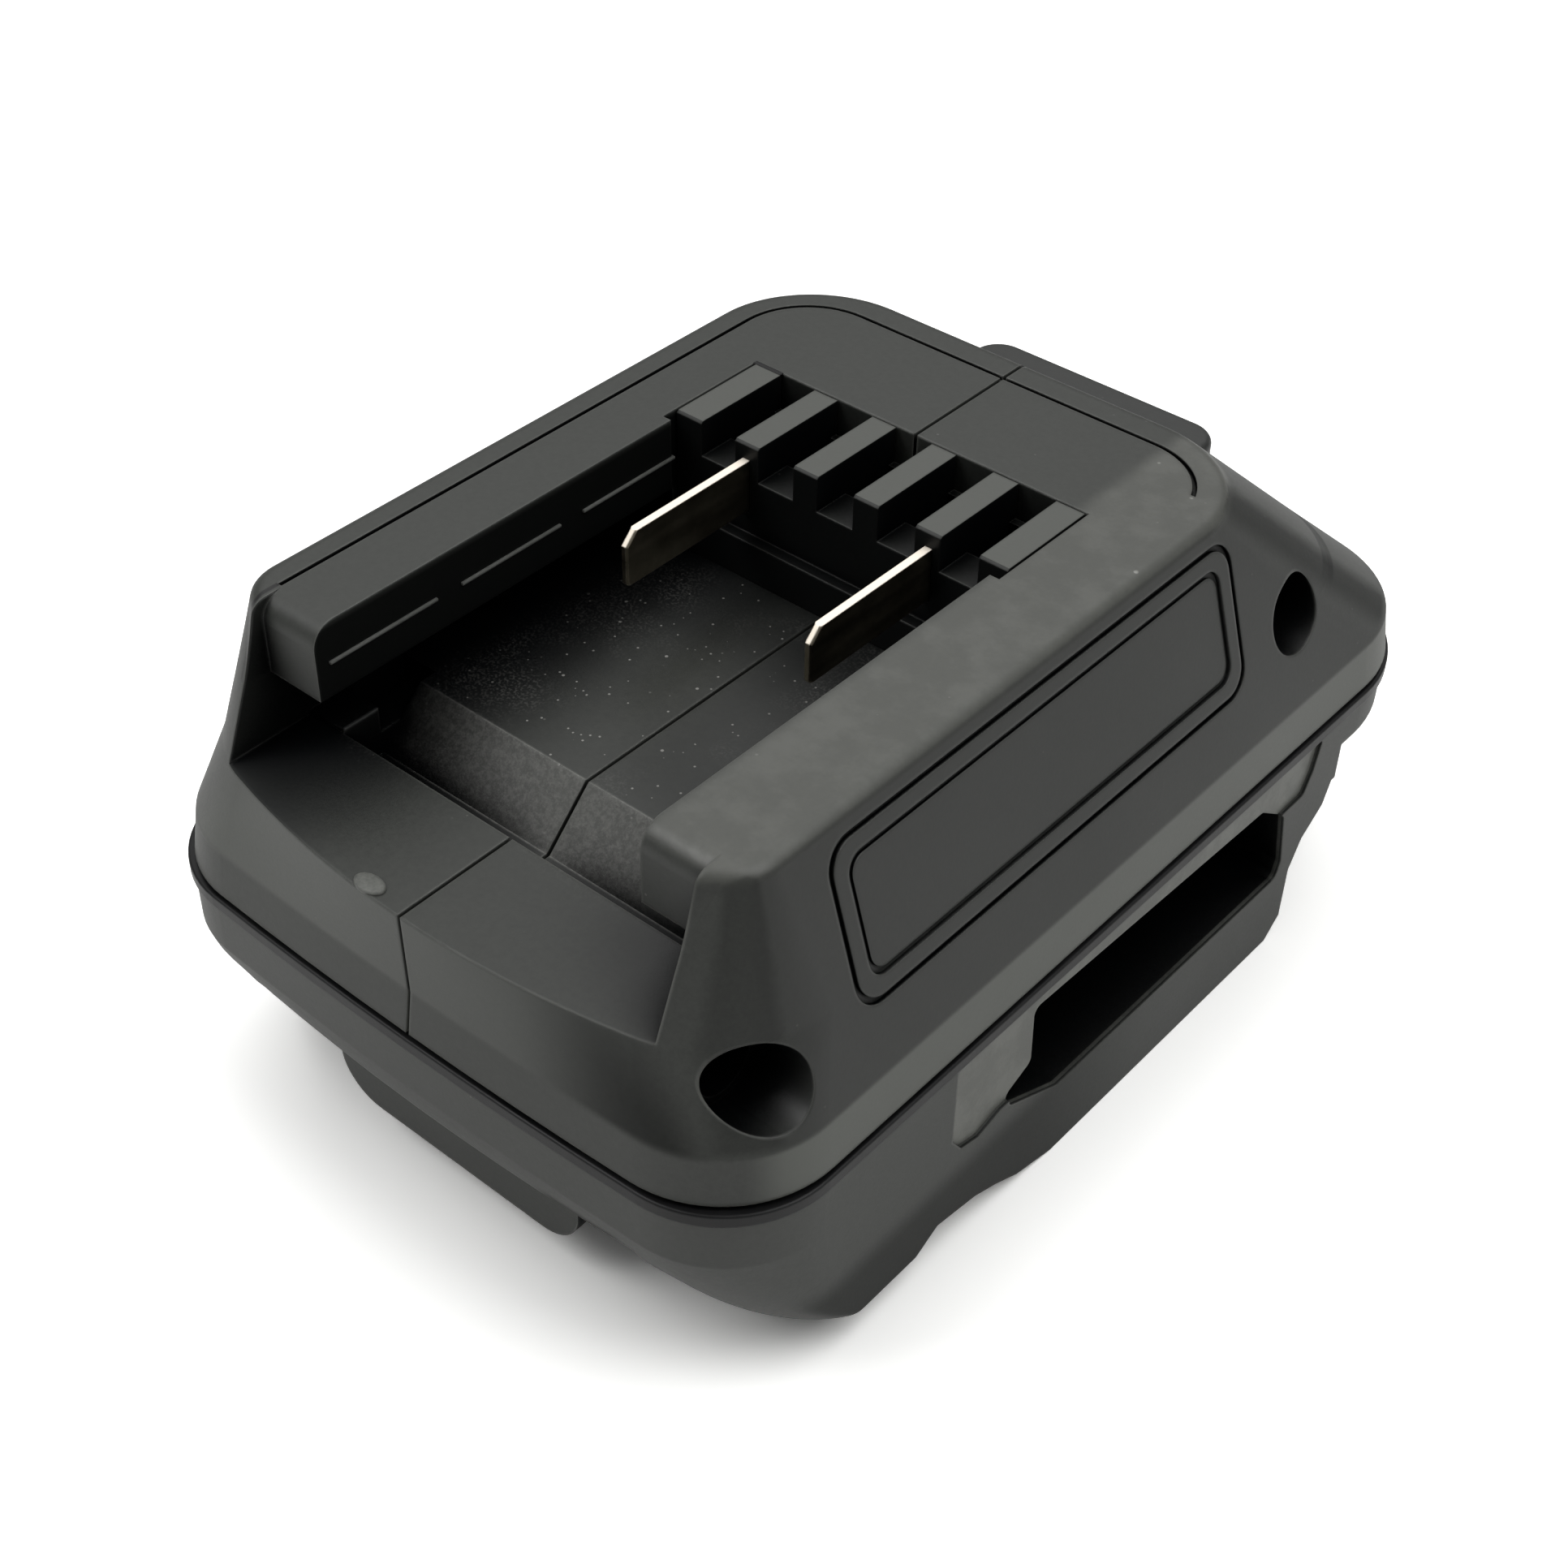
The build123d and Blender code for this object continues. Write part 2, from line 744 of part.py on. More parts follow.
def lower_holes():
    # Screw holes, slots for the tool's blades and the slot for the latch hook
    holes = Part()
    for x, y in base_screw_places():
        holes += rod_z(screw_radius + screw_clearance, x, y, -lower_depth, 0)
        holes += rod_z(base_screw_bore, x, y, -lower_depth - overrun, -parting_gap - base_screw_seat)
    for x, y in standoff_places():
        holes += rod_z(board_screw_radius + fit_gap / 2, x, y, board_top - board_screw_length, board_top)
    for x in clip_places():
        holes += block(x - tower_slot_width / 2, x + tower_slot_width / 2,
                       clip_y - tower_slot_length / 2, clip_y + tower_slot_length / 2,
                       -tower_depth - overrun, -tower_depth + wall + overrun)
    slot_front = button_back - latch_travel - hook_thickness / 2 - running_gap
    slot_back = button_back + hook_thickness + hook_nose + running_gap
    holes += centred(hook_width + 2 * running_gap, slot_front, slot_back,
                     -tray_depth - overrun, tray_inside + overrun)
    return holes


def side_pocket(shares, depth, corner):
    # Pocket of the given outline and depth in the right side wall
    face = make_face(Polyline(*side_outline(shares), close=True))
    face = Plane.YZ * fillet(face.vertices(), corner)
    return Pos(half_width - depth, 0, 0) * extrude(face, depth + overrun)


def lower_shell():
    # Lower casing: tray, skirts with rail blocks, and tower
    hull = front_hull()
    shell = tray_form(hull) + both_sides(skirt_block(hull)) + tower()
    shell -= lower_cavity()
    shell += lower_fittings()
    shell -= lower_holes()
    shell -= both_sides(side_pocket(window_shares, window_depth, window_corner))
    shell -= both_sides(side_pocket(plate_shares, plate_depth, plate_corner))
    return shell


def parting_gasket():
    # Soft ring between the two casings, with a bead that stands proud of them
    def ring(outset, width):
        outer = base_plan(-outset, -outset, lower_corner)
        return outer - base_plan(width - outset, width - outset, lower_corner)
    core = Pos(0, 0, -parting_gap) * extrude(ring(-gasket_inset, gasket_width), parting_gap)
    bead_height = parting_gap - bead_drop
    bead_width = gasket_inset + bead_reach + fit_gap
    bead = Pos(0, 0, -parting_gap) * extrude(ring(bead_reach, bead_width), bead_height)
    rim = [e for e in bead.faces().sort_by(Axis.Z)[-1].outer_wire().edges()]
    return core + fillet(rim, bead_round)


def terminal_comb():
    # Comb insert: stepped foot, ledge, deep wells and six fingers flush with the top plate
    foot = centred(comb_width, comb_foot_front, comb_back, channel_floor, channel_floor + comb_foot_height)
    stem = centred(comb_width, comb_front, comb_back, channel_floor, comb_ledge)
    comb = foot + stem
    half = comb_width / 2
    ends = block(half - side_finger_width, half, comb_front, comb_back, comb_ledge, upper_height)
    comb += both_sides(ends)
    centres = [finger_pitch * (step - (finger_count - 1) / 2) for step in range(finger_count)]
    for centre in centres:
        finger = block(centre - finger_width / 2, centre + finger_width / 2, comb_front, comb_back,
                       comb_ledge, upper_height)
        comb += finger
    rims = [e for e in comb.edges().filter_by(Axis.X)
            if abs(e.center().Z - upper_height) < fit_gap and abs(e.center().Y - comb_front) < fit_gap]
    comb = chamfer(rims, finger_chamfer)
    walls = [-half + side_finger_width] + centres + [half - side_finger_width]
    for index in range(len(walls) - 1):
        left = walls[index] + (finger_width / 2 if index > 0 else 0)
        right = walls[index + 1] - (finger_width / 2 if index < len(walls) - 2 else 0)
        comb -= block(left, right, comb_front + comb_well_start, comb_back - comb_well_back_wall,
                      channel_floor + comb_well_rise, comb_ledge + overrun)
    comb -= blade_slots(comb_foot_front - overrun, comb_back + overrun, blade_height)
    return comb


def input_blade(sign):
    # Upright contact blade with a cut nose and softened edges
    side = make_face(Polyline(
        (blade_front, blade_bottom), (blade_tail_end, blade_bottom),
        (blade_tail_end, blade_bottom + blade_tail_height), (comb_back, blade_bottom + blade_tail_height),
        (comb_back, blade_bottom + blade_height),
        (blade_front + blade_nose, blade_bottom + blade_height),
        (blade_front, blade_bottom + blade_height - blade_nose), close=True))
    side = fillet(side.vertices().sort_by(Axis.Y)[:3], blade_nose_round)
    blade = extrude(Plane.YZ * side, blade_thickness / 2, both=True)
    front = [e for e in blade.edges() if e.center().Y < blade_front + blade_nose
             and abs(abs(e.center().X) - blade_thickness / 2) < fit_gap / 2]
    return Pos(sign * blade_offset, 0, 0) * chamfer(front, blade_edge)


def lead(sign):
    # Insulated lead from the blade's tail down to the board
    x = sign * (blade_offset + blade_thickness / 2 + lead_radius)
    start = blade_tail_end - lead_grip
    high = channel_floor + lead_rise
    low = board_top + lead_radius
    rear = board_rear - lead_rear_set
    path = FilletPolyline((x, start, high), (x, rear, high), (x, rear, low),
                          (x, board_rear - lead_end_set, low), radius=lead_bend)
    section = Plane(origin=(x, start, high), z_dir=(0, 1, 0)) * Circle(lead_radius)
    return sweep(section, path=path)


def circuit_board():
    # Board with rounded corners, screw holes and slots for the clip tails
    middle = (board_front + board_rear) / 2
    board = Pos(0, middle, board_bottom) * extrude(
        RectangleRounded(board_width, board_rear - board_front, board_corner), board_thickness)
    for x, y in standoff_places():
        board -= rod_z(board_screw_radius + screw_clearance, x, y,
                       board_bottom - overrun, board_top + overrun)
    for x in clip_places():
        board -= block(x - clip_thickness / 2 - fit_gap, x + clip_thickness / 2 + fit_gap,
                       clip_y - clip_tail_width / 2 - fit_gap, clip_y + clip_tail_width / 2 + fit_gap,
                       board_bottom - overrun, board_top + overrun)
    return board


def board_screws():
    screws = Part()
    for x, y in standoff_places():
        screws += rod_z(board_screw_radius, x, y, board_top - board_screw_length + fit_gap, board_top)
        head = rod_z(board_screw_head_radius, x, y, board_top, board_top + board_screw_head_height)
        screws += chamfer(head.edges().sort_by(Axis.Z)[-1], board_screw_edge)
    return screws


def capacitors():
    # Two upright can capacitors with a rolled groove near the foot
    cans = Part()
    y = board_front + capacitor_share * (board_rear - board_front)
    for x in (-capacitor_x, capacitor_x):
        can = rod_z(capacitor_radius, x, y, board_top, board_top + capacitor_height)
        can = fillet(can.edges().sort_by(Axis.Z)[-1], capacitor_groove_depth)
        ring = rod_z(capacitor_radius + overrun, x, y, board_top + capacitor_groove_height,
                     board_top + capacitor_groove_height + capacitor_groove_depth)
        ring -= rod_z(capacitor_radius - capacitor_groove_depth, x, y, board_top,
                      board_top + capacitor_height)
        cans += can - ring
    return cans


def choke():
    y = board_front + choke_share * (board_rear - board_front)
    return Pos(0, y, board_top + choke_ring) * Torus(choke_radius, choke_ring)


def transistors():
    # Two power transistors lying on the board, each with its metal tab towards the rear
    pair = Part()
    middle = board_rear - transistor_set
    front, rear = middle - transistor_length / 2, middle + transistor_length / 2
    for x in (-transistor_x, transistor_x):
        left, right = x - transistor_width / 2, x + transistor_width / 2
        body = block(left, right, front, rear, board_top, board_top + transistor_height)
        body = chamfer(body.faces().sort_by(Axis.Z)[-1].edges(), transistor_edge)
        pair += body + block(left, right, rear, rear + transistor_tab_length,
                             board_top, board_top + transistor_tab_thickness)
    return pair


def controller_chip():
    # Small chip with a row of legs along each side
    middle = board_front + chip_share * (board_rear - board_front)
    body = centred(chip_width, middle - chip_length / 2, middle + chip_length / 2,
                   board_top, board_top + chip_height)
    for index in range(chip_leg_count):
        y = middle + (index - (chip_leg_count - 1) / 2) * chip_leg_pitch
        body += centred(chip_width + 2 * chip_leg_reach, y - chip_leg_width / 2, y + chip_leg_width / 2,
                        board_top, board_top + chip_leg_height)
    return Pos(chip_x, 0, 0) * body


def output_clip(sign):
    # Two leaves that pinch the tool's blade, a bridge over them and a tail to the board
    top = clip_thickness - clip_top
    outer = clip_spread + clip_thickness
    inner_line = [(0, -clip_top), (clip_spread, -clip_top), (clip_pinch, -clip_neck),
                  (clip_spread, -clip_mouth)]
    outer_line = [(outer, -clip_mouth), (clip_pinch + clip_thickness, -clip_neck), (outer, top), (0, top)]
    leaf = make_face(Polyline(*inner_line, *outer_line, close=True))
    leaf = extrude(Plane.XZ * leaf, clip_length / 2, both=True)
    clip = leaf + mirror(leaf, about=Plane.YZ)
    clip += block(-clip_thickness / 2, clip_thickness / 2, -clip_tail_width / 2, clip_tail_width / 2,
                  -clip_top, board_top + clip_thickness)
    return Pos(tower_x + sign * clip_offset, clip_y, 0) * clip


def clip_holder():
    # Insulating block in the tower that keeps the clips upright
    width = tower_width - 2 * wall - 2 * fit_gap
    floor = -tower_depth + wall
    corner = tower_corner - wall
    holder = block(tower_x - width / 2, tower_x + width / 2, clip_y - holder_length / 2,
                   clip_y + holder_length / 2, floor, -holder_top)
    low = holder.edges().filter_by(Axis.Y).sort_by(Axis.Z)[:2]
    holder = fillet(low, corner)
    for x in clip_places():
        holder -= block(x - holder_slot_width / 2, x + holder_slot_width / 2,
                        clip_y - clip_length / 2 - fit_gap, clip_y + clip_length / 2 + fit_gap,
                        floor - overrun, -holder_top + overrun)
    return holder


def release_button():
    # Push button: ridged thumb block outside the wall and a root behind it
    thumb = centred(button_width, button_back, button_face, button_bottom, button_top)
    uprights = thumb.edges().filter_by(Axis.Z).sort_by(Axis.Y)[-2:]
    thumb = fillet(uprights, button_corner)
    outer = [e for e in thumb.faces().sort_by(Axis.Z)[-1].edges() if e.center().Y > button_back + fit_gap]
    thumb = fillet(outer, button_edge)
    middle = (button_bottom + button_top) / 2
    for index in range(button_grip_count):
        z = middle + (index - (button_grip_count - 1) / 2) * button_grip_pitch
        thumb -= centred(button_width - 2 * button_corner, button_face - button_grip_depth,
                         button_face + overrun, z - button_grip_width / 2, z + button_grip_width / 2)
    root = centred(button_root_width, button_back, button_back + button_root_length,
                   button_root_bottom, button_bottom)
    return thumb + root


def hook_screw_places():
    # Across and up positions of the two screws that hold the hook
    z = tray_inside + carriage_lift + carriage_foot_height + hook_screw_head_radius + hook_head_thickness
    return [(-hook_screw_x, z), (hook_screw_x, z)]


def latch_carriage():
    # Upright plate behind the button with spring posts and a foot that slides on the tray
    low = tray_inside + carriage_lift
    plate = centred(carriage_width, carriage_front, button_back, low, carriage_top)
    foot = centred(carriage_width, carriage_front, button_back + carriage_foot_length,
                   low, low + carriage_foot_height)
    carriage = plate + foot
    carriage += spring_posts(carriage_front - spring_post_length, carriage_front + fit_gap)
    hook_room = centred(hook_width + 2 * fit_gap, button_back, button_back + hook_thickness + fit_gap,
                        low - overrun, low + carriage_foot_height + overrun)
    carriage -= hook_room
    for x, z in hook_screw_places():
        carriage -= rod_y(hook_screw_radius + fit_gap / 2, x, carriage_front + fit_gap,
                          button_back + overrun, z)
    return carriage


def latch_hook():
    # Steel hook: a plate screwed to the carriage, a shank through the tray and a nose
    low = tray_inside + carriage_lift
    back = button_back
    plate_top = low + carriage_foot_height + 2 * hook_screw_head_radius + 2 * hook_head_thickness
    side = make_face(Polyline(
        (back, plate_top), (back, -hook_depth), (back + hook_thickness, -hook_depth),
        (back + hook_thickness + hook_nose, -hook_depth + hook_nose),
        (back + hook_thickness + hook_nose, -hook_depth + hook_nose_height),
        (back + hook_thickness, -hook_depth + hook_nose_height),
        (back + hook_thickness, low + carriage_foot_height),
        (back + hook_head_thickness, low + carriage_foot_height),
        (back + hook_head_thickness, plate_top), close=True))
    hook = extrude(Plane.YZ * side, hook_width / 2, both=True)
    for x, z in hook_screw_places():
        hook -= rod_y(hook_screw_radius + fit_gap, x, back - overrun, back + hook_thickness, z)
    return hook


def hook_screws():
    screws = Part()
    seat = button_back + hook_head_thickness
    for x, z in hook_screw_places():
        screws += rod_y(hook_screw_radius, x, seat - hook_screw_length, seat, z)
        screws += rod_y(hook_screw_head_radius, x, seat, seat + hook_screw_head_height, z)
    return screws


def latch_spring(sign):
    # Compression spring between the rib and the carriage, wound as one wire
    length = carriage_front - spring_rib_back - 2 * spring_wire
    path = Helix(pitch=length / spring_turns, height=length, radius=spring_radius)
    section = Plane(origin=path @ 0, z_dir=path % 0) * Circle(spring_wire)
    coil = sweep(section, path=path, is_frenet=True)
    return Pos(sign * spring_x, carriage_front - spring_wire, spring_z) * Rot(90, 0, 0) * coil


def screw(length):
    # Pan-head screw along +Z with its head's seat at the origin and a cross recess
    head = rod_z(screw_head_radius, 0, 0, 0, screw_head_height)
    head = fillet(head.edges().sort_by(Axis.Z)[-1], screw_head_round)
    body = head + rod_z(screw_radius, 0, 0, -length, 0)
    cross = block(-screw_drive_radius, screw_drive_radius, -screw_drive_width / 2, screw_drive_width / 2,
                  screw_head_height - screw_drive_depth, screw_head_height + overrun)
    return body - cross - Rot(0, 0, 90) * cross


def side_screws():
    screws = Part()
    length = side_screw_seat + side_screw_tip - overrun
    for y, z in side_screw_places():
        screws += Pos(side_screw_seat, y, z) * Rot(0, 90, 0) * screw(length)
    return screws


def base_screws():
    screws = Part()
    seat = -parting_gap - base_screw_seat
    for x, y in base_screw_places():
        screws += Pos(x, y, seat) * Rot(180, 0, 0) * screw(base_screw_reach - seat - overrun)
    return screws


def save(name, piece):
    # Moves a finished piece to its place on the stand and writes it
    solids = [placed * solid for solid in piece.solids()]
    shape = solids[0] if len(solids) == 1 else Compound(children=solids)
    export_step(shape, f"parts/{name}.step")


whole_upper = upper_shell()
save("upper_shell_left", upper_half(whole_upper, -1))
save("upper_shell_right", upper_half(whole_upper, 1))
save("lower_shell", lower_shell())
save("parting_gasket", parting_gasket())
save("terminal_comb", terminal_comb())
save("input_blade_left", input_blade(-1))
save("input_blade_right", input_blade(1))
save("negative_lead", lead(-1))
save("positive_lead", lead(1))
save("circuit_board", circuit_board())
save("board_screws", board_screws())
save("filter_capacitors", capacitors())
save("filter_choke", choke())
save("power_transistors", transistors())
save("controller_chip", controller_chip())
save("output_clip_left", output_clip(-1))
save("output_clip_right", output_clip(1))
save("clip_holder", clip_holder())
save("release_button", release_button())
save("latch_carriage", latch_carriage())
save("latch_hook", latch_hook())
save("hook_screws", hook_screws())
save("latch_spring_left", latch_spring(-1))
save("latch_spring_right", latch_spring(1))
save("side_screws", side_screws())
save("base_screws", base_screws())
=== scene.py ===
import math
import bpy
from mathutils import Matrix, Vector


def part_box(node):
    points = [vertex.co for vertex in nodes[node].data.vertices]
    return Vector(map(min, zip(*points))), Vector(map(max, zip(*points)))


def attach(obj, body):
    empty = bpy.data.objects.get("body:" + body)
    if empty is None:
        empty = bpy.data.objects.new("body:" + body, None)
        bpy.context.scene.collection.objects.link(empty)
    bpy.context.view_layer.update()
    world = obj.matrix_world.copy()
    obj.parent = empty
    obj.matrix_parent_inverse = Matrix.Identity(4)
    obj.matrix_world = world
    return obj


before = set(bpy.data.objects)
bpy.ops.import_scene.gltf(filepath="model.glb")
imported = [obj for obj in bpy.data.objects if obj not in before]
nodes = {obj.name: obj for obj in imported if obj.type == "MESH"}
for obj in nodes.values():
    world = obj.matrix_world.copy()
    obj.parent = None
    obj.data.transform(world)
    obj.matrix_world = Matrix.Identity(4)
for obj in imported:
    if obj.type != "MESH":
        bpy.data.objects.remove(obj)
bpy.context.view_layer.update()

print("frame loaded,", len(nodes), "nodes")

# sides and levels of the nodes that the marks and the small pieces follow, in metres
shellLow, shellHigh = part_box("upper_shell_right")
combLow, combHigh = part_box("terminal_comb")
gasketLow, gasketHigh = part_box("parting_gasket")
frontEnd, rearEnd, wallSide = shellLow.y, shellHigh.y, shellHigh.x
rimLevel, floorLevel, bandLow, bandHigh = shellHigh.z, combLow.z, gasketLow.z, gasketHigh.z


def off(start, *steps):  # places at these distances from a side or level
    return tuple(start + step for step in steps)


# a socket that can be used in sums, any other node comes from node()
class Wire:
    def __init__(self, tree, socket=None):
        self.tree = tree
        self.socket = socket

    def feed(self, socket, value):
        if isinstance(value, Wire):
            self.tree.links.new(value.socket, socket)
        else:
            socket.default_value = value

    def node(self, kind, settings=None, links=None, out=0):
        made = self.tree.nodes.new("ShaderNode" + kind)
        for name, value in (settings or {}).items():
            setattr(made, name, value)
        for name, value in (links or {}).items():
            self.feed(made.inputs[name], value)
        return Wire(self.tree, made.outputs[out])

    def other(self, out):  # a further output of the same node
        return Wire(self.tree, self.socket.node.outputs[out])

    def maths(self, operation, a, b=0.0, clamp=False):
        return self.node("Math", {"operation": operation, "use_clamp": clamp}, {0: a, 1: b})

    def __add__(self, added):
        return self.maths("ADD", self, added)

    def __sub__(self, taken):
        return self.maths("SUBTRACT", self, taken)

    def __rsub__(self, whole):
        return self.maths("SUBTRACT", whole, self)

    def __mul__(self, factor):
        return self.maths("MULTIPLY", self, factor)

    def __neg__(self):
        return self * -1.0

    __radd__ = __add__
    __rmul__ = __mul__

    def absolute(self):
        return self.maths("ABSOLUTE", self)

    def clamped(self):
        return self.maths("ADD", self, 0.0, clamp=True)

    def rise(self, low, high):  # 0 below low, 1 above high, smooth between
        return self.node("MapRange", {"interpolation_type": "SMOOTHSTEP"},
                         {"Value": self, "From Min": low, "From Max": high})

    def fall(self, low, high):  # 1 below low, 0 above high
        return 1 - self.rise(low, high)

    def within(self, low, high, soft):  # 1 between two values, with soft ends
        return self.rise(low - soft, low + soft) * self.fall(high - soft, high + soft)


# rays that look for rounded edges and for hollows
edgeSamples = 4
hollowSamples = 8


def rgba(colour):
    return (*colour, 1.0)


def mixColour(wire, factor, a, b):
    # sockets 6 and 7 of a Mix node are its two colours
    links = {"Factor": factor, 6: rgba(a) if isinstance(a, tuple) else a,
             7: rgba(b) if isinstance(b, tuple) else b}
    return wire.node("Mix", {"data_type": "RGBA"}, links, out=2)


def noise(wire, place, scale, detail=2.0, rough=0.5):
    return wire.node("TexNoise", None, {"Vector": place, "Scale": scale, "Detail": detail,
                                        "Roughness": rough})


def sway(pattern, amount):  # a pattern of mean 0.5 made to swing round zero
    return (pattern - 0.5) * amount


def specks(wire, place, scale, size, share, core=0.6, blur=0.01):
    # small dots: cells whose own random value is under share, cut to a radius
    cell = wire.node("TexVoronoi", None, {"Vector": place, "Scale": scale, "Randomness": 1.0})
    chance = wire.node("SeparateColor", None, {"Color": cell.other("Color")})
    return cell.fall(size * core, size) * chance.fall(share, share + blur)


def axes(wire, vector):
    x = wire.node("SeparateXYZ", None, {"Vector": vector})
    return x, x.other(1), x.other(2)


def objectPlace(wire):
    return wire.node("TexCoord", out=3)


def surfaceNormal(wire):
    return wire.node("NewGeometry", out=1)


def roundedNormal(wire, radius):
    return wire.node("Bevel", {"samples": edgeSamples}, {"Radius": radius})


def roundedRim(wire, radius, low, high):
    # the normal with its edges rounded, and a mask that is 1 where that turns it
    rounded = roundedNormal(wire, radius)
    facing = wire.node("VectorMath", {"operation": "DOT_PRODUCT"},
                       {0: rounded, 1: surfaceNormal(wire)}, out=1)
    return rounded, (1 - facing).rise(low, high)


def startMaterial(name):
    material = bpy.data.materials.new(name)
    material.use_nodes = True
    tree = material.node_tree
    tree.nodes.clear()
    return material, Wire(tree)


def skin(wire, colour, rough, relief, more=None):
    # relief: the inputs of the Bump node, more: further inputs of the shader
    bump = wire.node("Bump", None, relief)
    return wire.node("BsdfPrincipled", None, {"Base Color": colour, "Roughness": rough.clamped(),
                                              "Normal": bump, **(more or {})})


def closeMaterial(wire, shader):
    output = wire.tree.nodes.new("ShaderNodeOutputMaterial")
    wire.tree.links.new(shader.socket, output.inputs["Surface"])


# what each plastic looks like: colours, sizes of its grain in metres, its edge wear and painted edge
# highlight, and the painted shade of its hollows
housingFinish = {
    "colour": (0.0315, 0.0338, 0.0296), "shade": (0.0236, 0.0254, 0.0222), "deep": (0.0012, 0.0014, 0.0016),
    "wearAndHighlight": (0.165, 0.170, 0.155), "rough": 0.46, "grain": 0.00028, "grainDepth": 0.000012,
    "edge": 0.0005, "edgeShine": 0.80, "dust": 0.5, "hollow": 0.030}
combFinish = {
    "colour": (0.0400, 0.0425, 0.0380), "shade": (0.0300, 0.0320, 0.0288), "deep": (0.0014, 0.0016, 0.0018),
    "wearAndHighlight": (0.170, 0.175, 0.160), "rough": 0.40, "grain": 0.00024, "grainDepth": 0.000010,
    "edge": 0.00035, "edgeShine": 0.75, "dust": 0.35, "hollow": 0.030}
buttonFinish = {
    "colour": (0.0210, 0.0223, 0.0206), "shade": (0.0155, 0.0165, 0.0152), "deep": (0.0020, 0.0022, 0.0022),
    "wearAndHighlight": (0.085, 0.088, 0.080), "rough": 0.42, "grain": 0.00026, "grainDepth": 0.000008,
    "edge": 0.0006, "edgeShine": 0.6, "dust": 0.2, "hollow": 0.006}
carriageFinish = {
    "colour": (0.0380, 0.0385, 0.0380), "shade": (0.0280, 0.0282, 0.0280), "deep": (0.010, 0.010, 0.010),
    "wearAndHighlight": (0.085, 0.085, 0.083), "rough": 0.38, "grain": 0.0004, "grainDepth": 0.000006,
    "edge": 0.0004, "edgeShine": 0.4, "dust": 0.1, "hollow": 0.004}
holderFinish = {
    "colour": (0.145, 0.145, 0.140), "shade": (0.110, 0.110, 0.106), "deep": (0.060, 0.060, 0.058),
    "wearAndHighlight": (0.24, 0.24, 0.23), "rough": 0.48, "grain": 0.0005, "grainDepth": 0.000006,
    "edge": 0.0004, "edgeShine": 0.3, "dust": 0.15, "hollow": 0.004}
chipFinish = {
    "colour": (0.0165, 0.0165, 0.0170), "shade": (0.0110, 0.0110, 0.0115), "deep": (0.006, 0.006, 0.006),
    "wearAndHighlight": (0.045, 0.045, 0.045), "rough": 0.55, "grain": 0.00018, "grainDepth": 0.000008,
    "edge": 0.0002, "edgeShine": 0.3, "dust": 0.1, "hollow": 0.003}

# what all plastics share: each pattern's scale, detail and roughness, and how much it shows in what
plastic = {
    "cloud": (26.0, 4.0, 0.62), "patch": (210.0, 3.0, 0.6), "grainDetail": (2.0, 0.55),
    "coarser": 0.45, "coarseDetail": (2.0, 0.5), "rim": (0.045, 0.24), "rimWearAndHighlight": 0.35, "patchWearAndHighlight": 0.9,
    "cloudShade": 0.7, "grainShade": 1.5, "coarseShade": 1.6, "plainShade": 0.55,
    "recess": (0.52, 0.97), "gloss": (0.34, 0.66), "motes": (620.0, 0.10, 0.035), "mote": (0.13, 0.128, 0.12),
    "cloudRough": 0.16, "grainRough": 0.14, "wearRough": 0.10, "grainHeight": 0.7, "coarseHeight": 0.5,
    "bump": 0.75, "specular": 0.45}

# how far a normal has to turn before a face counts as level, sideways or forwards
facing = {"level": (0.5, 0.9), "sideways": (0.75, 0.95), "forwards": (0.6, 0.9)}


class Spot:
    # where a shaded point is, in metres, and which way its face looks
    def __init__(self, wire, place):
        self.place = place
        self.across, self.along, self.up = axes(wire, place)
        self.side = self.across.absolute()
        self.right, self.rear, top = axes(wire, surfaceNormal(wire))
        self.level = top.rise(*facing["level"])
        self.sideways = self.right.absolute().rise(*facing["sideways"])
        self.forwards = (-self.rear).rise(*facing["forwards"])


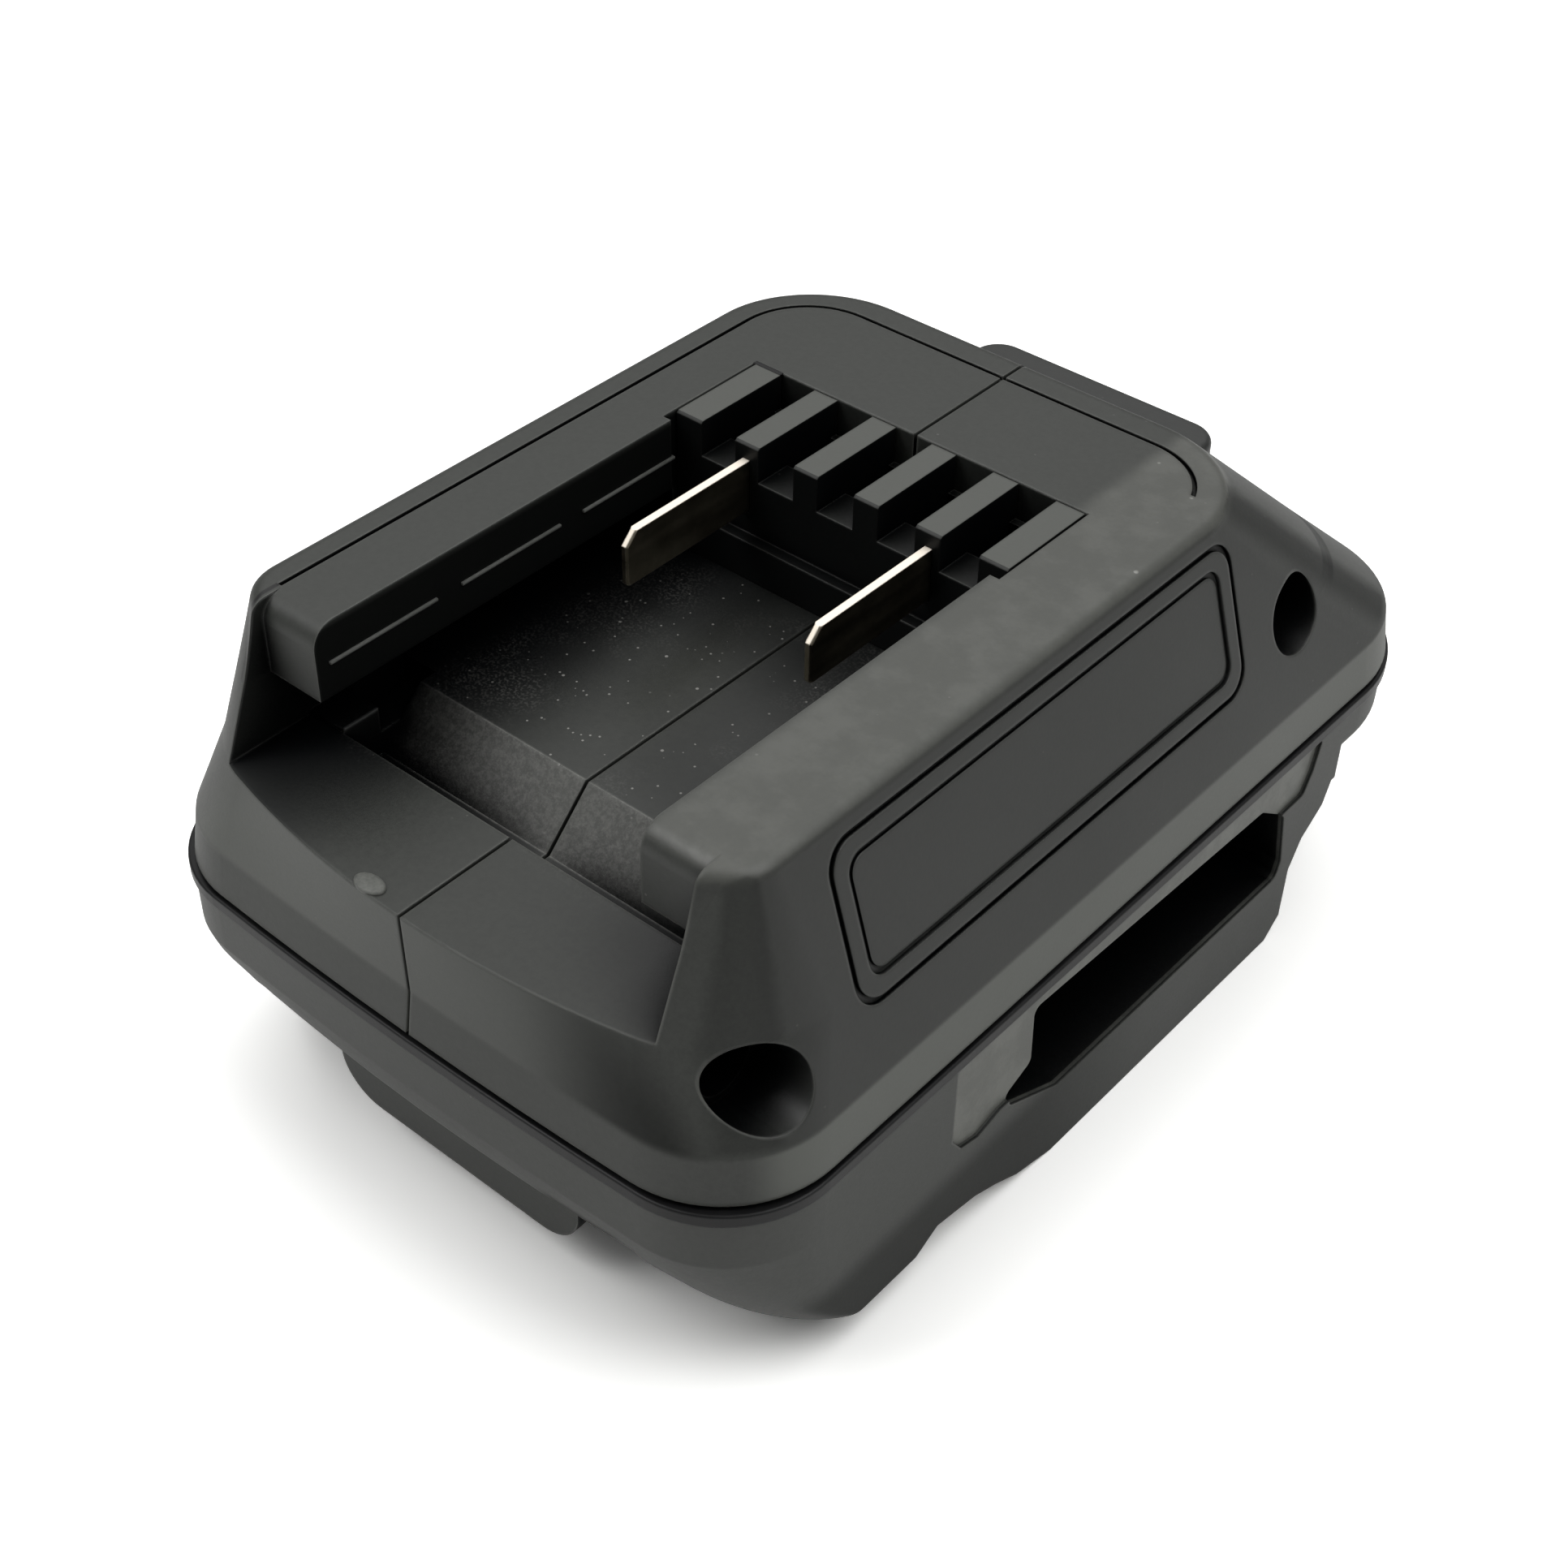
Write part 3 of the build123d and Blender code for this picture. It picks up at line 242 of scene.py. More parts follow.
def mouldedPlastic(name, finish, marks=None):
    # grained plastic: mottled colour, fine spark grain, paler softened edges that are partly edge wear and
    # partly painted highlight, painted shade in hollows, a little dust
    material, wire = startMaterial(name)
    place = objectPlace(wire)
    cloud = noise(wire, place, *plastic["cloud"])
    patch = noise(wire, place, *plastic["patch"])
    grain = noise(wire, place, 1 / finish["grain"], *plastic["grainDetail"])
    coarse = noise(wire, place, plastic["coarser"] / finish["grain"], *plastic["coarseDetail"])

    rounded, rim = roundedRim(wire, finish["edge"], *plastic["rim"])  # real edges, not the soft creases
    # the pale edge colour is partly edge wear and partly a painted highlight
    wornAndHighlit = (rim * (plastic["rimWearAndHighlight"] + patch * plastic["patchWearAndHighlight"]) * finish["edgeShine"]).clamped()

    shade = sway(cloud, plastic["cloudShade"]) + sway(grain, plastic["grainShade"]) \
        + sway(coarse, plastic["coarseShade"]) + plastic["plainShade"]
    colour = mixColour(wire, shade.clamped(), finish["shade"], finish["colour"])
    # painted shade: the colour is darkened to near-black in hollows and recesses
    openness = wire.node("AmbientOcclusion", {"samples": hollowSamples, "only_local": True},
                         {"Distance": finish["hollow"]}, out=1)
    colour = mixColour(wire, openness.rise(*plastic["recess"]), finish["deep"], colour)
    colour = mixColour(wire, wornAndHighlit, colour, finish["wearAndHighlight"])
    motes = specks(wire, place, *plastic["motes"]) * finish["dust"]
    colour = mixColour(wire, motes.clamped(), colour, plastic["mote"])
    rough = finish["rough"] + sway(cloud, plastic["cloudRough"]) + sway(grain, plastic["grainRough"]) \
        - wornAndHighlit * plastic["wearRough"]
    height = grain * plastic["grainHeight"] + coarse * plastic["coarseHeight"]
    gloss = openness.rise(*plastic["gloss"])
    if marks:
        colour, rough, height, paintedShadeMask = marks(wire, Spot(wire, place), colour, rough, height)
        gloss = gloss * (1 - paintedShadeMask)

    relief = {"Strength": plastic["bump"], "Distance": finish["grainDepth"], "Height": height,
              "Normal": rounded}
    shader = skin(wire, colour, rough, relief, {"Specular IOR Level": plastic["specular"]})
    # painted shade: in hollows and where the marks ask, the plastic gives way to a near-black matt surface
    hollowShadeDiffuse = wire.node("BsdfDiffuse", None, {"Color": rgba(finish["deep"])})  # no sheen deep inside
    closeMaterial(wire, wire.node("MixShader", None, {"Fac": gloss, 1: hollowShadeDiffuse, 2: shader}))
    return material


# places on the housing that look different, with how much each mark shows there: a pair is a range,
# a pattern has a scale, a detail and a roughness, and specks have a scale, a size and a share of cells
floorDust = {"up": off(floorLevel, -0.0007, 0.0004), "along": (frontEnd + 0.015, combLow.y + 0.0007),
             "softAlong": 0.003, "softUp": 0.0002, "fine": (1300.0, 0.20, 0.16),
             "larger": (520.0, 0.11, 0.20), "largerShare": 1.1, "haze": (60.0, 3.0, 0.6),
             "hazeRange": (0.42, 0.72), "powder": (3600.0, 1.0), "powderRange": (0.45, 0.7),
             "hazeShare": 0.34, "tint": (0.20, 0.197, 0.185)}
# painted shadow on the channel's floor: where it darkens, and how much sheen it takes off
floorGloom = {"up": off(floorLevel, -0.0013, 0.0004), "left": (-0.0225, -0.0080), "leftShare": 0.60,
              "rear": off(combLow.y, -0.0183, -0.0023), "rearShare": 0.40, "right": (-0.004, 0.004),
              "middle": off(frontEnd, 0.021, 0.031), "rightShare": 0.22, "tint": (0.0030, 0.0036, 0.0042),
              "dull": 0.75}
rampScuff = {"up": off(floorLevel, -0.0057, 0.0001), "along": off(frontEnd, 0.0190, 0.0248),
             "half": (0.0226, 0.0230), "softUp": 0.0001, "softAlong": 0.0002, "pores": (4200.0, 2.0, 0.7),
             "poreRange": (0.44, 0.66), "rub": (1500.0, 3.0, 0.7), "rubRange": (0.40, 0.62),
             "right": (0.004, 0.022), "plain": 0.30, "poreShare": 0.16, "rubShare": 0.22, "rightShare": 0.22,
             "speckShare": 0.5, "rougher": 0.18, "deeper": 0.9, "tint": (0.260, 0.260, 0.242)}
pocketEdge = {"side": (0.0228, 0.0232), "along": off(frontEnd, 0.0147, 0.0244), "softSide": 0.00004,
              "softAlong": 0.0001, "low": off(floorLevel, -0.0005, -0.0001),
              "high": off(floorLevel, 0.0003, 0.0005), "tint": (0.16, 0.16, 0.155)}
railRub = {"across": (0.0206, 0.0335), "soft": 0.0011, "top": off(rimLevel, -0.0016, -0.0002),
           "streak": (190.0, 4.0, 0.7), "streakRange": (0.40, 0.66), "flecks": (330.0, 0.13, 0.14),
           "plain": 0.40, "streakShare": 0.14, "fleckShare": 0.45, "brightShare": 0.8, "smoother": 0.08,
           "tint": (0.115, 0.117, 0.105), "bright": (0.30, 0.30, 0.28)}
noseLine = {"left": (0.0281, 0.0286), "soft": 0.00006, "low": off(rimLevel, -0.0083, -0.0081),
            "rear": off(frontEnd, 0.0133, 0.0135), "tint": (0.002, 0.002, 0.002)}
platePaler = {"side": off(wallSide, -0.0007, -0.0003), "softSide": 0.00005, "high": off(bandLow, 0.0, 0.0003),
            "along": (frontEnd + 0.0319, rearEnd - 0.0244), "softAlong": 0.0001, "plain": 0.65,
            "streakShare": 0.3, "tint": (0.135, 0.139, 0.125)}
wallTone = {"start": off(bandHigh, -0.0007, 0.0001), "turn": off(bandHigh, 0.0046, 0.0054),
            "paleShare": 0.85, "dimShare": 0.62, "tint": (0.092, 0.097, 0.086), "dim": (0.010, 0.011, 0.0095)}
chinTone = {"up": (bandHigh + 0.005, floorLevel - 0.0005), "soft": 0.0006,
            "rear": off(frontEnd, 0.002, 0.005), "middle": 0.55, "slope": 14.0,
            "tint": (0.066, 0.070, 0.062), "right": (0.012, 0.028), "dull": 0.62}
lipInside = {"side": (0.0216, 0.0220), "low": off(floorLevel, 0.0055, 0.0065),
             "high": off(rimLevel, -0.0009, -0.0001), "dull": 0.75}
rightCorner = {"right": (0.5, 0.65), "rear": (0.15, 0.35), "rearDull": 0.45, "front": (0.3, 0.42),
               "frontDull": 0.28, "low": off(bandHigh, 0.005, 0.006)}
trayFront = {"across": (0.0160, 0.0250), "softSide": 0.0015, "up": (0.0120, 0.0190), "softUp": 0.0008,
             "dull": 0.5}
railBlock = {"high": (0.0095, 0.0140), "rear": (-0.0180, 0.0100), "dull": 0.42}


def channelMarks(wire, at, colour, rough, height):
    # painted shadow on the channel's floor, dust on it, the scuffed ramp with a painted highlight at its
    # right end, and a painted highlight along the pocket's edge
    # painted shadow: the floor darkened at its left side, towards its rear, and right of the middle
    inShade = at.across.fall(*floorGloom["left"]) * floorGloom["leftShare"] \
        + at.along.rise(*floorGloom["rear"]) * floorGloom["rearShare"] \
        + at.across.rise(*floorGloom["right"]) * at.along.rise(*floorGloom["middle"]) \
        * floorGloom["rightShare"]
    gloom = at.up.within(*floorGloom["up"], floorDust["softUp"]) * at.level * inShade
    colour = mixColour(wire, gloom.clamped(), colour, floorGloom["tint"])

    onFloor = at.up.within(*floorDust["up"], floorDust["softUp"]) \
        * at.along.within(*floorDust["along"], floorDust["softAlong"]) * at.level
    fine = specks(wire, at.place, *floorDust["fine"])
    larger = specks(wire, at.place, *floorDust["larger"])
    haze = noise(wire, at.place, *floorDust["haze"]).rise(*floorDust["hazeRange"]) \
        * noise(wire, at.place, *floorDust["powder"]).rise(*floorDust["powderRange"])
    dust = (fine + larger * floorDust["largerShare"] + haze * floorDust["hazeShare"]) * onFloor
    colour = mixColour(wire, dust.clamped(), colour, floorDust["tint"])

    onRamp = at.up.within(*rampScuff["up"], rampScuff["softUp"]) \
        * at.along.within(*rampScuff["along"], rampScuff["softAlong"]) \
        * at.side.fall(*rampScuff["half"]) * at.level
    pores = noise(wire, at.place, *rampScuff["pores"])
    rubbed = noise(wire, at.place, *rampScuff["rub"]).rise(*rampScuff["rubRange"])
    # scuffing, with the right end made paler still as a painted highlight
    scuff = pores.rise(*rampScuff["poreRange"]) * rampScuff["poreShare"] + rubbed * rampScuff["rubShare"] \
        + at.across.rise(*rampScuff["right"]) * rampScuff["rightShare"] \
        + larger * rampScuff["speckShare"] + rampScuff["plain"]
    colour = mixColour(wire, (onRamp * scuff).clamped(), colour, rampScuff["tint"])
    rough = rough + onRamp * rampScuff["rougher"]
    height = height + onRamp * pores * rampScuff["deeper"]

    # painted highlight: a pale line along the pocket's edge
    onEdge = at.side.within(*pocketEdge["side"], pocketEdge["softSide"]) \
        * at.along.within(*pocketEdge["along"], pocketEdge["softAlong"]) \
        * at.up.rise(*pocketEdge["low"]) * at.up.fall(*pocketEdge["high"])
    colour = mixColour(wire, onEdge, colour, pocketEdge["tint"])
    return colour, rough, height, gloom


def railMarks(wire, at, colour, rough, streak):
    # the rubbed right rail, and the top line running on over the nose of the left lip, painted near-black as
    # the shade of a groove
    onRail = at.across.within(*railRub["across"], railRub["soft"]) * at.up.rise(*railRub["top"])
    flecks = specks(wire, at.place, *railRub["flecks"])
    rub = onRail * (streak * railRub["streakShare"] + flecks * railRub["fleckShare"] + railRub["plain"])
    colour = mixColour(wire, rub.clamped(), colour, railRub["tint"])
    colour = mixColour(wire, flecks * onRail * streak * railRub["brightShare"], colour, railRub["bright"])
    rough = rough - onRail * streak * railRub["smoother"]

    # painted shade: a near-black line where a groove would be shaded
    onNose = (-at.across).within(*noseLine["left"], noseLine["soft"]) \
        * at.up.rise(*noseLine["low"]) * at.along.fall(*noseLine["rear"])
    return mixColour(wire, onNose, colour, noseLine["tint"]), rough


def wallMarks(wire, at, colour, streak):
    # the plate round the side window painted paler with streaks, and side walls painted paler just above the
    # band and darker from there upwards, as painted light and shade
    onPlate = at.side.within(*platePaler["side"], platePaler["softSide"]) \
        * at.along.within(*platePaler["along"], platePaler["softAlong"]) * at.up.fall(*platePaler["high"])
    rub = onPlate * (platePaler["plain"] + streak * platePaler["streakShare"])
    colour = mixColour(wire, rub.clamped(), colour, platePaler["tint"])
    # painted light low on the side walls, painted shade higher up
    onWall = at.sideways * at.up.rise(*wallTone["start"])
    turn = at.up.rise(*wallTone["turn"])
    colour = mixColour(wire, onWall * (1 - turn) * wallTone["paleShare"], colour, wallTone["tint"])
    return mixColour(wire, onWall * turn * wallTone["dimShare"], colour, wallTone["dim"])


def housingMarks(wire, at, colour, rough, height):
    streak = noise(wire, at.place, *railRub["streak"]).rise(*railRub["streakRange"])
    colour, rough, height, gloom = channelMarks(wire, at, colour, rough, height)
    colour, rough = railMarks(wire, at, colour, rough, streak)
    colour = wallMarks(wire, at, colour, streak)

    # painted light: the chin is painted paler towards its left end
    onChin = at.forwards * at.up.within(*chinTone["up"], chinTone["soft"]) * at.along.fall(*chinTone["rear"])
    paler = (chinTone["middle"] - at.across * chinTone["slope"]).clamped()
    colour = mixColour(wire, onChin * paler, colour, chinTone["tint"])

    # painted shade: the surface gives way to a near-black matt one in the floor's painted shadow, on the
    # lips' inner faces, the right corners, the chin's right end, and the lower casing's front and blocks
    onLip = at.sideways * at.side.fall(*lipInside["side"]) * at.up.rise(*lipInside["low"]) \
        * at.up.fall(*lipInside["high"])
    onCorner = at.right.rise(*rightCorner["right"]) * at.up.rise(*rightCorner["low"]) \
        * (at.rear.rise(*rightCorner["rear"]) * rightCorner["rearDull"]
           + (-at.rear).rise(*rightCorner["front"]) * rightCorner["frontDull"])
    onTray = at.forwards * at.across.within(*trayFront["across"], trayFront["softSide"]) \
        * at.up.within(*trayFront["up"], trayFront["softUp"])
    onBlock = at.sideways * at.up.fall(*railBlock["high"]) * at.along.fall(*railBlock["rear"])
    paintedShadeMask = onLip * lipInside["dull"] + gloom * floorGloom["dull"] + onCorner \
        + onChin * at.across.rise(*chinTone["right"]) * chinTone["dull"] \
        + onTray * trayFront["dull"] + onBlock * railBlock["dull"]
    return colour, rough, height, paintedShadeMask.clamped()


# the comb: tops of the fingers painted pale as painted light, upright faces and wells painted nearly black as
# painted shade
combTone = {"top": off(combHigh.z, -0.0005, -0.0002), "topShare": 0.60, "pale": (0.082, 0.086, 0.076),
            "uprightShare": 0.75, "dark": (0.0030, 0.0034, 0.0038), "uprightDull": 0.70, "wellDull": 0.35}


def combMarks(wire, at, colour, rough, height):
    onTop = at.level * at.up.rise(*combTone["top"])
    upright = 1 - at.level
    colour = mixColour(wire, onTop * combTone["topShare"], colour, combTone["pale"])
    colour = mixColour(wire, upright * combTone["uprightShare"], colour, combTone["dark"])
    paintedShadeMask = upright * combTone["uprightDull"] + at.level * (1 - onTop) * combTone["wellDull"]
    return colour, rough, height, paintedShadeMask


# the dark ring between the casings
rubber = {"colour": (0.0030, 0.0031, 0.0034), "paler": (0.0075, 0.0075, 0.0080), "rough": 0.38,
          "smear": (120.0, 4.0, 0.6), "smearRange": (0.35, 0.8), "smearRough": 0.25, "grain": (2600.0, 2.0),
          "grainRough": 0.08, "edge": 0.0002, "bump": 0.5, "depth": 0.000012, "specular": 0.25}


def gasketRubber():
    material, wire = startMaterial("gasketRubber")
    place = objectPlace(wire)
    smear = noise(wire, place, *rubber["smear"])
    grain = noise(wire, place, *rubber["grain"])
    colour = mixColour(wire, smear.rise(*rubber["smearRange"]), rubber["colour"], rubber["paler"])
    rough = rubber["rough"] + sway(smear, rubber["smearRough"]) + sway(grain, rubber["grainRough"])
    relief = {"Strength": rubber["bump"], "Distance": rubber["depth"], "Height": grain + smear,
              "Normal": roundedNormal(wire, rubber["edge"])}
    closeMaterial(wire, skin(wire, colour, rough, relief, {"Specular IOR Level": rubber["specular"]}))
    return material


# each metal's colours, its edges, and how its drawn lines are stretched along one axis
bladeMetal = {"colour": (0.30, 0.27, 0.20), "dull": (0.20, 0.175, 0.125), "bright": (0.80, 0.73, 0.62),
              "stain": (0.10, 0.08, 0.05), "rough": 0.34, "edge": 0.0002, "stretch": (1.0, 0.06, 1.0),
              "cream": (0.98, 0.90, 0.78), "creamRange": (0.45, 0.8), "creamMatt": 0.8, "creamRough": 0.2}
clipMetal = {"colour": (0.78, 0.66, 0.45), "dull": (0.60, 0.48, 0.30), "bright": (0.92, 0.84, 0.66),
             "stain": (0.32, 0.22, 0.12), "rough": 0.33, "edge": 0.0002, "stretch": (1.0, 1.0, 0.06)}
hookMetal = {"colour": (0.46, 0.46, 0.47), "dull": (0.34, 0.34, 0.35), "bright": (0.72, 0.72, 0.73),
             "stain": (0.16, 0.14, 0.12), "rough": 0.34, "edge": 0.0003, "stretch": (1.0, 1.0, 0.05)}
springMetal = {"colour": (0.52, 0.52, 0.53), "dull": (0.38, 0.38, 0.39), "bright": (0.75, 0.75, 0.76),
               "stain": (0.18, 0.16, 0.13), "rough": 0.28, "edge": 0.0001, "stretch": (1.0, 1.0, 1.0)}
screwMetal = {"colour": (0.085, 0.085, 0.090), "dull": (0.045, 0.045, 0.048), "bright": (0.30, 0.30, 0.31),
              "stain": (0.09, 0.06, 0.04), "rough": 0.36, "edge": 0.00025, "stretch": (1.0, 1.0, 1.0)}
canMetal = {"colour": (0.64, 0.65, 0.66), "dull": (0.50, 0.51, 0.52), "bright": (0.82, 0.82, 0.83),
            "stain": (0.30, 0.30, 0.30), "rough": 0.30, "edge": 0.0002, "stretch": (0.08, 0.08, 1.0)}
copperMetal = {"colour": (0.72, 0.33, 0.16), "dull": (0.50, 0.21, 0.10), "bright": (0.90, 0.50, 0.30),
               "stain": (0.20, 0.08, 0.04), "rough": 0.33, "edge": 0.0002, "stretch": (1.0, 1.0, 0.06)}

# what all metals share
drawn = {"brush": (900.0, 3.0, 0.6), "patch": (160.0, 4.0, 0.65), "patchRange": (0.3, 0.75),
         "spots": (900.0, 0.12, 0.05), "spotShare": 0.6, "rim": (0.01, 0.2), "rimShare": 0.6,
         "brushRough": 0.22, "patchRough": 0.12, "rimRough": 0.06, "patchHeight": 0.4, "bump": 0.6,
         "depth": 0.000006}


def brushedMetal(name, metal):
    # drawn or stamped metal: fine lines along one axis, small stains, duller patches, bright edges
    material, wire = startMaterial(name)
    place = objectPlace(wire)
    lines = wire.node("Mapping", None, {"Vector": place, "Scale": metal["stretch"]})
    brush = noise(wire, lines, *drawn["brush"])
    patch = noise(wire, place, *drawn["patch"])
    spots = specks(wire, place, *drawn["spots"]) * drawn["spotShare"]
    colour = mixColour(wire, patch.rise(*drawn["patchRange"]), metal["dull"], metal["colour"])
    colour = mixColour(wire, spots.clamped(), colour, metal["stain"])
    rounded, rim = roundedRim(wire, metal["edge"], *drawn["rim"])
    colour = mixColour(wire, (rim * drawn["rimShare"]).clamped(), colour, metal["bright"])
    rough = metal["rough"] + sway(brush, drawn["brushRough"]) + sway(patch, drawn["patchRough"]) \
        - rim * drawn["rimRough"]
    relief = {"Strength": drawn["bump"], "Distance": drawn["depth"],
              "Height": brush + patch * drawn["patchHeight"], "Normal": rounded}
    metallic = 1.0
    if "cream" in metal:  # painted highlight: the narrow upper edge painted pale cream and made matt
        top = axes(wire, rounded)[2].rise(*metal["creamRange"])
        colour = mixColour(wire, top, colour, metal["cream"])
        metallic = 1 - top * metal["creamMatt"]
        rough = rough + top * metal["creamRough"]
    closeMaterial(wire, skin(wire, colour, rough, relief, {"Metallic": metallic}))
    return material


# insulation of the inner leads and film of the capacitor sleeves
blackSkin = {"colour": (0.011, 0.011, 0.012), "paler": (0.026, 0.026, 0.027)}
redSkin = {"colour": (0.30, 0.012, 0.010), "paler": (0.42, 0.030, 0.022)}
sleeveSkin = {"colour": (0.012, 0.016, 0.040), "paler": (0.02, 0.03, 0.07)}
sheath = {"smear": (300.0, 3.0, 0.6), "smearRange": (0.35, 0.8), "grain": (3000.0, 2.0), "rough": 0.42,
          "smearRough": 0.2, "bump": 0.4, "depth": 0.00001}


def leadSheath(name, tones):
    material, wire = startMaterial(name)
    place = objectPlace(wire)
    smear = noise(wire, place, *sheath["smear"])
    grain = noise(wire, place, *sheath["grain"])
    colour = mixColour(wire, smear.rise(*sheath["smearRange"]), tones["colour"], tones["paler"])
    rough = sheath["rough"] + sway(smear, sheath["smearRough"])
    relief = {"Strength": sheath["bump"], "Distance": sheath["depth"], "Height": grain}
    closeMaterial(wire, skin(wire, colour, rough, relief))
    return material


# the circuit board
board = {"mask": (0.012, 0.085, 0.036), "thin": (0.030, 0.130, 0.060), "glass": (0.20, 0.19, 0.10),
         "weave": {"Scale": 420.0, "Distortion": 0.4}, "weaveShare": 0.25, "cloud": (90.0, 3.0),
         "cloudShare": 0.5, "edge": (0.3, 0.6), "rough": 0.26, "cloudRough": 0.12, "edgeRough": 0.35,
         "bump": 0.3, "depth": 0.00001}


def boardLacquer():
    # green lacquer over a woven sheet, with the bare glass fibre at the cut edges
    material, wire = startMaterial("boardLacquer")
    place = objectPlace(wire)
    threads = [wire.node("TexWave", {"bands_direction": way}, {"Vector": place, **board["weave"]})
               for way in ("X", "Y")]
    warp, weft = [wire.node("RGBToBW", None, {"Color": thread}) for thread in threads]
    weave = wire.maths("MAXIMUM", warp, weft)
    cloud = noise(wire, place, *board["cloud"])
    thin = weave * board["weaveShare"] + cloud * board["cloudShare"]
    colour = mixColour(wire, thin.clamped(), board["mask"], board["thin"])
    cut = axes(wire, surfaceNormal(wire))[2].absolute().fall(*board["edge"])
    colour = mixColour(wire, cut, colour, board["glass"])
    rough = board["rough"] + sway(cloud, board["cloudRough"]) + cut * board["edgeRough"]
    relief = {"Strength": board["bump"], "Distance": board["depth"], "Height": weave}
    closeMaterial(wire, skin(wire, colour, rough, relief))
    return material


gasket = gasketRubber()
looks = {
    mouldedPlastic("housingPlastic", housingFinish, housingMarks): ["upper_shell_left", "upper_shell_right",
                                                                    "lower_shell"],
    gasket: ["parting_gasket"],
    mouldedPlastic("combPlastic", combFinish, combMarks): ["terminal_comb"],
    mouldedPlastic("buttonPlastic", buttonFinish): ["release_button"],
    mouldedPlastic("carriagePlastic", carriageFinish): ["latch_carriage"],
    mouldedPlastic("holderPlastic", holderFinish): ["clip_holder"],
    mouldedPlastic("chipEpoxy", chipFinish): ["controller_chip", "power_transistors", "filter_choke"],
    brushedMetal("bladePlating", bladeMetal): ["input_blade_left", "input_blade_right"],
    brushedMetal("clipPlating", clipMetal): ["output_clip_left", "output_clip_right"],
    brushedMetal("hookSteel", hookMetal): ["latch_hook", "hook_screws", "board_screws"],
    brushedMetal("springWire", springMetal): ["latch_spring_left", "latch_spring_right"],
    brushedMetal("screwSteel", screwMetal): ["side_screws", "base_screws"],
    brushedMetal("capacitorCan", canMetal): ["filter_capacitors"],
    leadSheath("leadBlack", blackSkin): ["negative_lead"],
    leadSheath("leadRed", redSkin): ["positive_lead"],
    boardLacquer(): ["circuit_board"],
}
for material, names in looks.items():
    for name in names:
        slots = nodes[name].data.materials
        for i in range(len(slots)):
            slots[i] = material
print("materials on", sum(len(names) for names in looks.values()), "nodes")

smoothAngle = math.radians(35)


def finishPiece(piece, name, material, body, bevel=0.0, segments=2):
    # rounds a modelled piece, bakes its place into the mesh and lets it ride a body
    piece.name = name
    if bevel:
        softened = piece.modifiers.new("softened", "BEVEL")
        softened.width, softened.segments, softened.limit_method = bevel, segments, "ANGLE"
        bpy.ops.object.modifier_apply(modifier="softened")
    bpy.ops.object.transform_apply(location=True, rotation=True, scale=True)
    bpy.ops.object.shade_smooth_by_angle(angle=smoothAngle)
    piece.data.materials.append(material)
    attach(piece, body)


def addBox(centre, size):
    bpy.ops.object.select_all(action="DESELECT")
    bpy.ops.mesh.primitive_cube_add(size=1, location=centre)
    bpy.ops.transform.resize(value=size)
    bpy.ops.object.transform_apply(location=False, rotation=False, scale=True)
    return bpy.context.object


def copyMoved(piece, name, shift, body):
    # a further copy with a mesh of its own, moved in edit mode so that its origin stays put
    bpy.ops.object.select_all(action="DESELECT")
    piece.select_set(True)
    bpy.context.view_layer.objects.active = piece
    bpy.ops.object.duplicate(linked=False)
    twin = bpy.context.object
    twin.name = name
    bpy.ops.object.mode_set(mode="EDIT")
    bpy.ops.mesh.select_all(action="SELECT")
    bpy.ops.transform.translate(value=shift)
    bpy.ops.object.mode_set(mode="OBJECT")
    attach(twin, body)


# broken ribs on the inner faces of the lips, sunk a little into them, in a paler copy of the housing plastic
# as a painted highlight
rib = {"face": 0.0205, "reach": 0.0003, "sunk": 0.0002, "fromFront": 0.0121, "length": 0.0136,
       "belowRim": 0.00455, "tall": 0.00034, "pitch": 0.0168, "count": 3, "round": 0.0001}
# painted highlight: a lit copy of the housing plastic
ribLitFinish = dict(housingFinish, colour=(0.088, 0.091, 0.084), shade=(0.066, 0.069, 0.063), hollow=0.001)
ribSide = rib["face"] - (rib["reach"] - rib["sunk"]) / 2
leftRib = addBox((-ribSide, frontEnd + rib["fromFront"] + rib["length"] / 2, rimLevel - rib["belowRim"]),
                 (rib["reach"] + rib["sunk"], rib["length"], rib["tall"]))
finishPiece(leftRib, "lipRib", mouldedPlastic("ribLitPlastic", ribLitFinish), "housing", rib["round"])
for i in range(rib["count"]):
    if i:
        copyMoved(leftRib, "lipRib", (0, i * rib["pitch"], 0), "housing")
    copyMoved(leftRib, "lipRib", (2 * ribSide, i * rib["pitch"], 0), "housing")

# half-round gate mark on the edge of the entry
gate = {"left": 0.0050, "fromFront": 0.00175, "belowFloor": 0.00045, "radius": 0.0018, "depth": 0.0005,
        "sides": 48, "squash": 0.62, "round": 0.00018, "segments": 3}
gateFinish = dict(ribLitFinish, colour=(0.110, 0.113, 0.102))
gatePlace = (-gate["left"], frontEnd + gate["fromFront"], floorLevel - gate["belowFloor"])
bpy.ops.object.select_all(action="DESELECT")
bpy.ops.mesh.primitive_cylinder_add(vertices=gate["sides"], radius=gate["radius"], depth=gate["depth"],
                                    location=gatePlace)
bpy.ops.transform.resize(value=(1, gate["squash"], 1))
finishPiece(bpy.context.object, "gateMark", mouldedPlastic("gatePlastic", gateFinish), "housing",
            gate["round"], gate["segments"])

# painted shadow: a thin black sheet behind the comb's left end, standing for the shade in a notch
notch = {"fromLeft": 0.0015, "behind": 0.00012, "belowTop": 0.00001, "size": (0.0038, 0.0006, 0.00008)}
notchPlace = (combLow.x + notch["fromLeft"], combHigh.y + notch["behind"], combHigh.z - notch["belowTop"])
finishPiece(addBox(notchPlace, notch["size"]), "combNotchShadow", gasket, "housing")

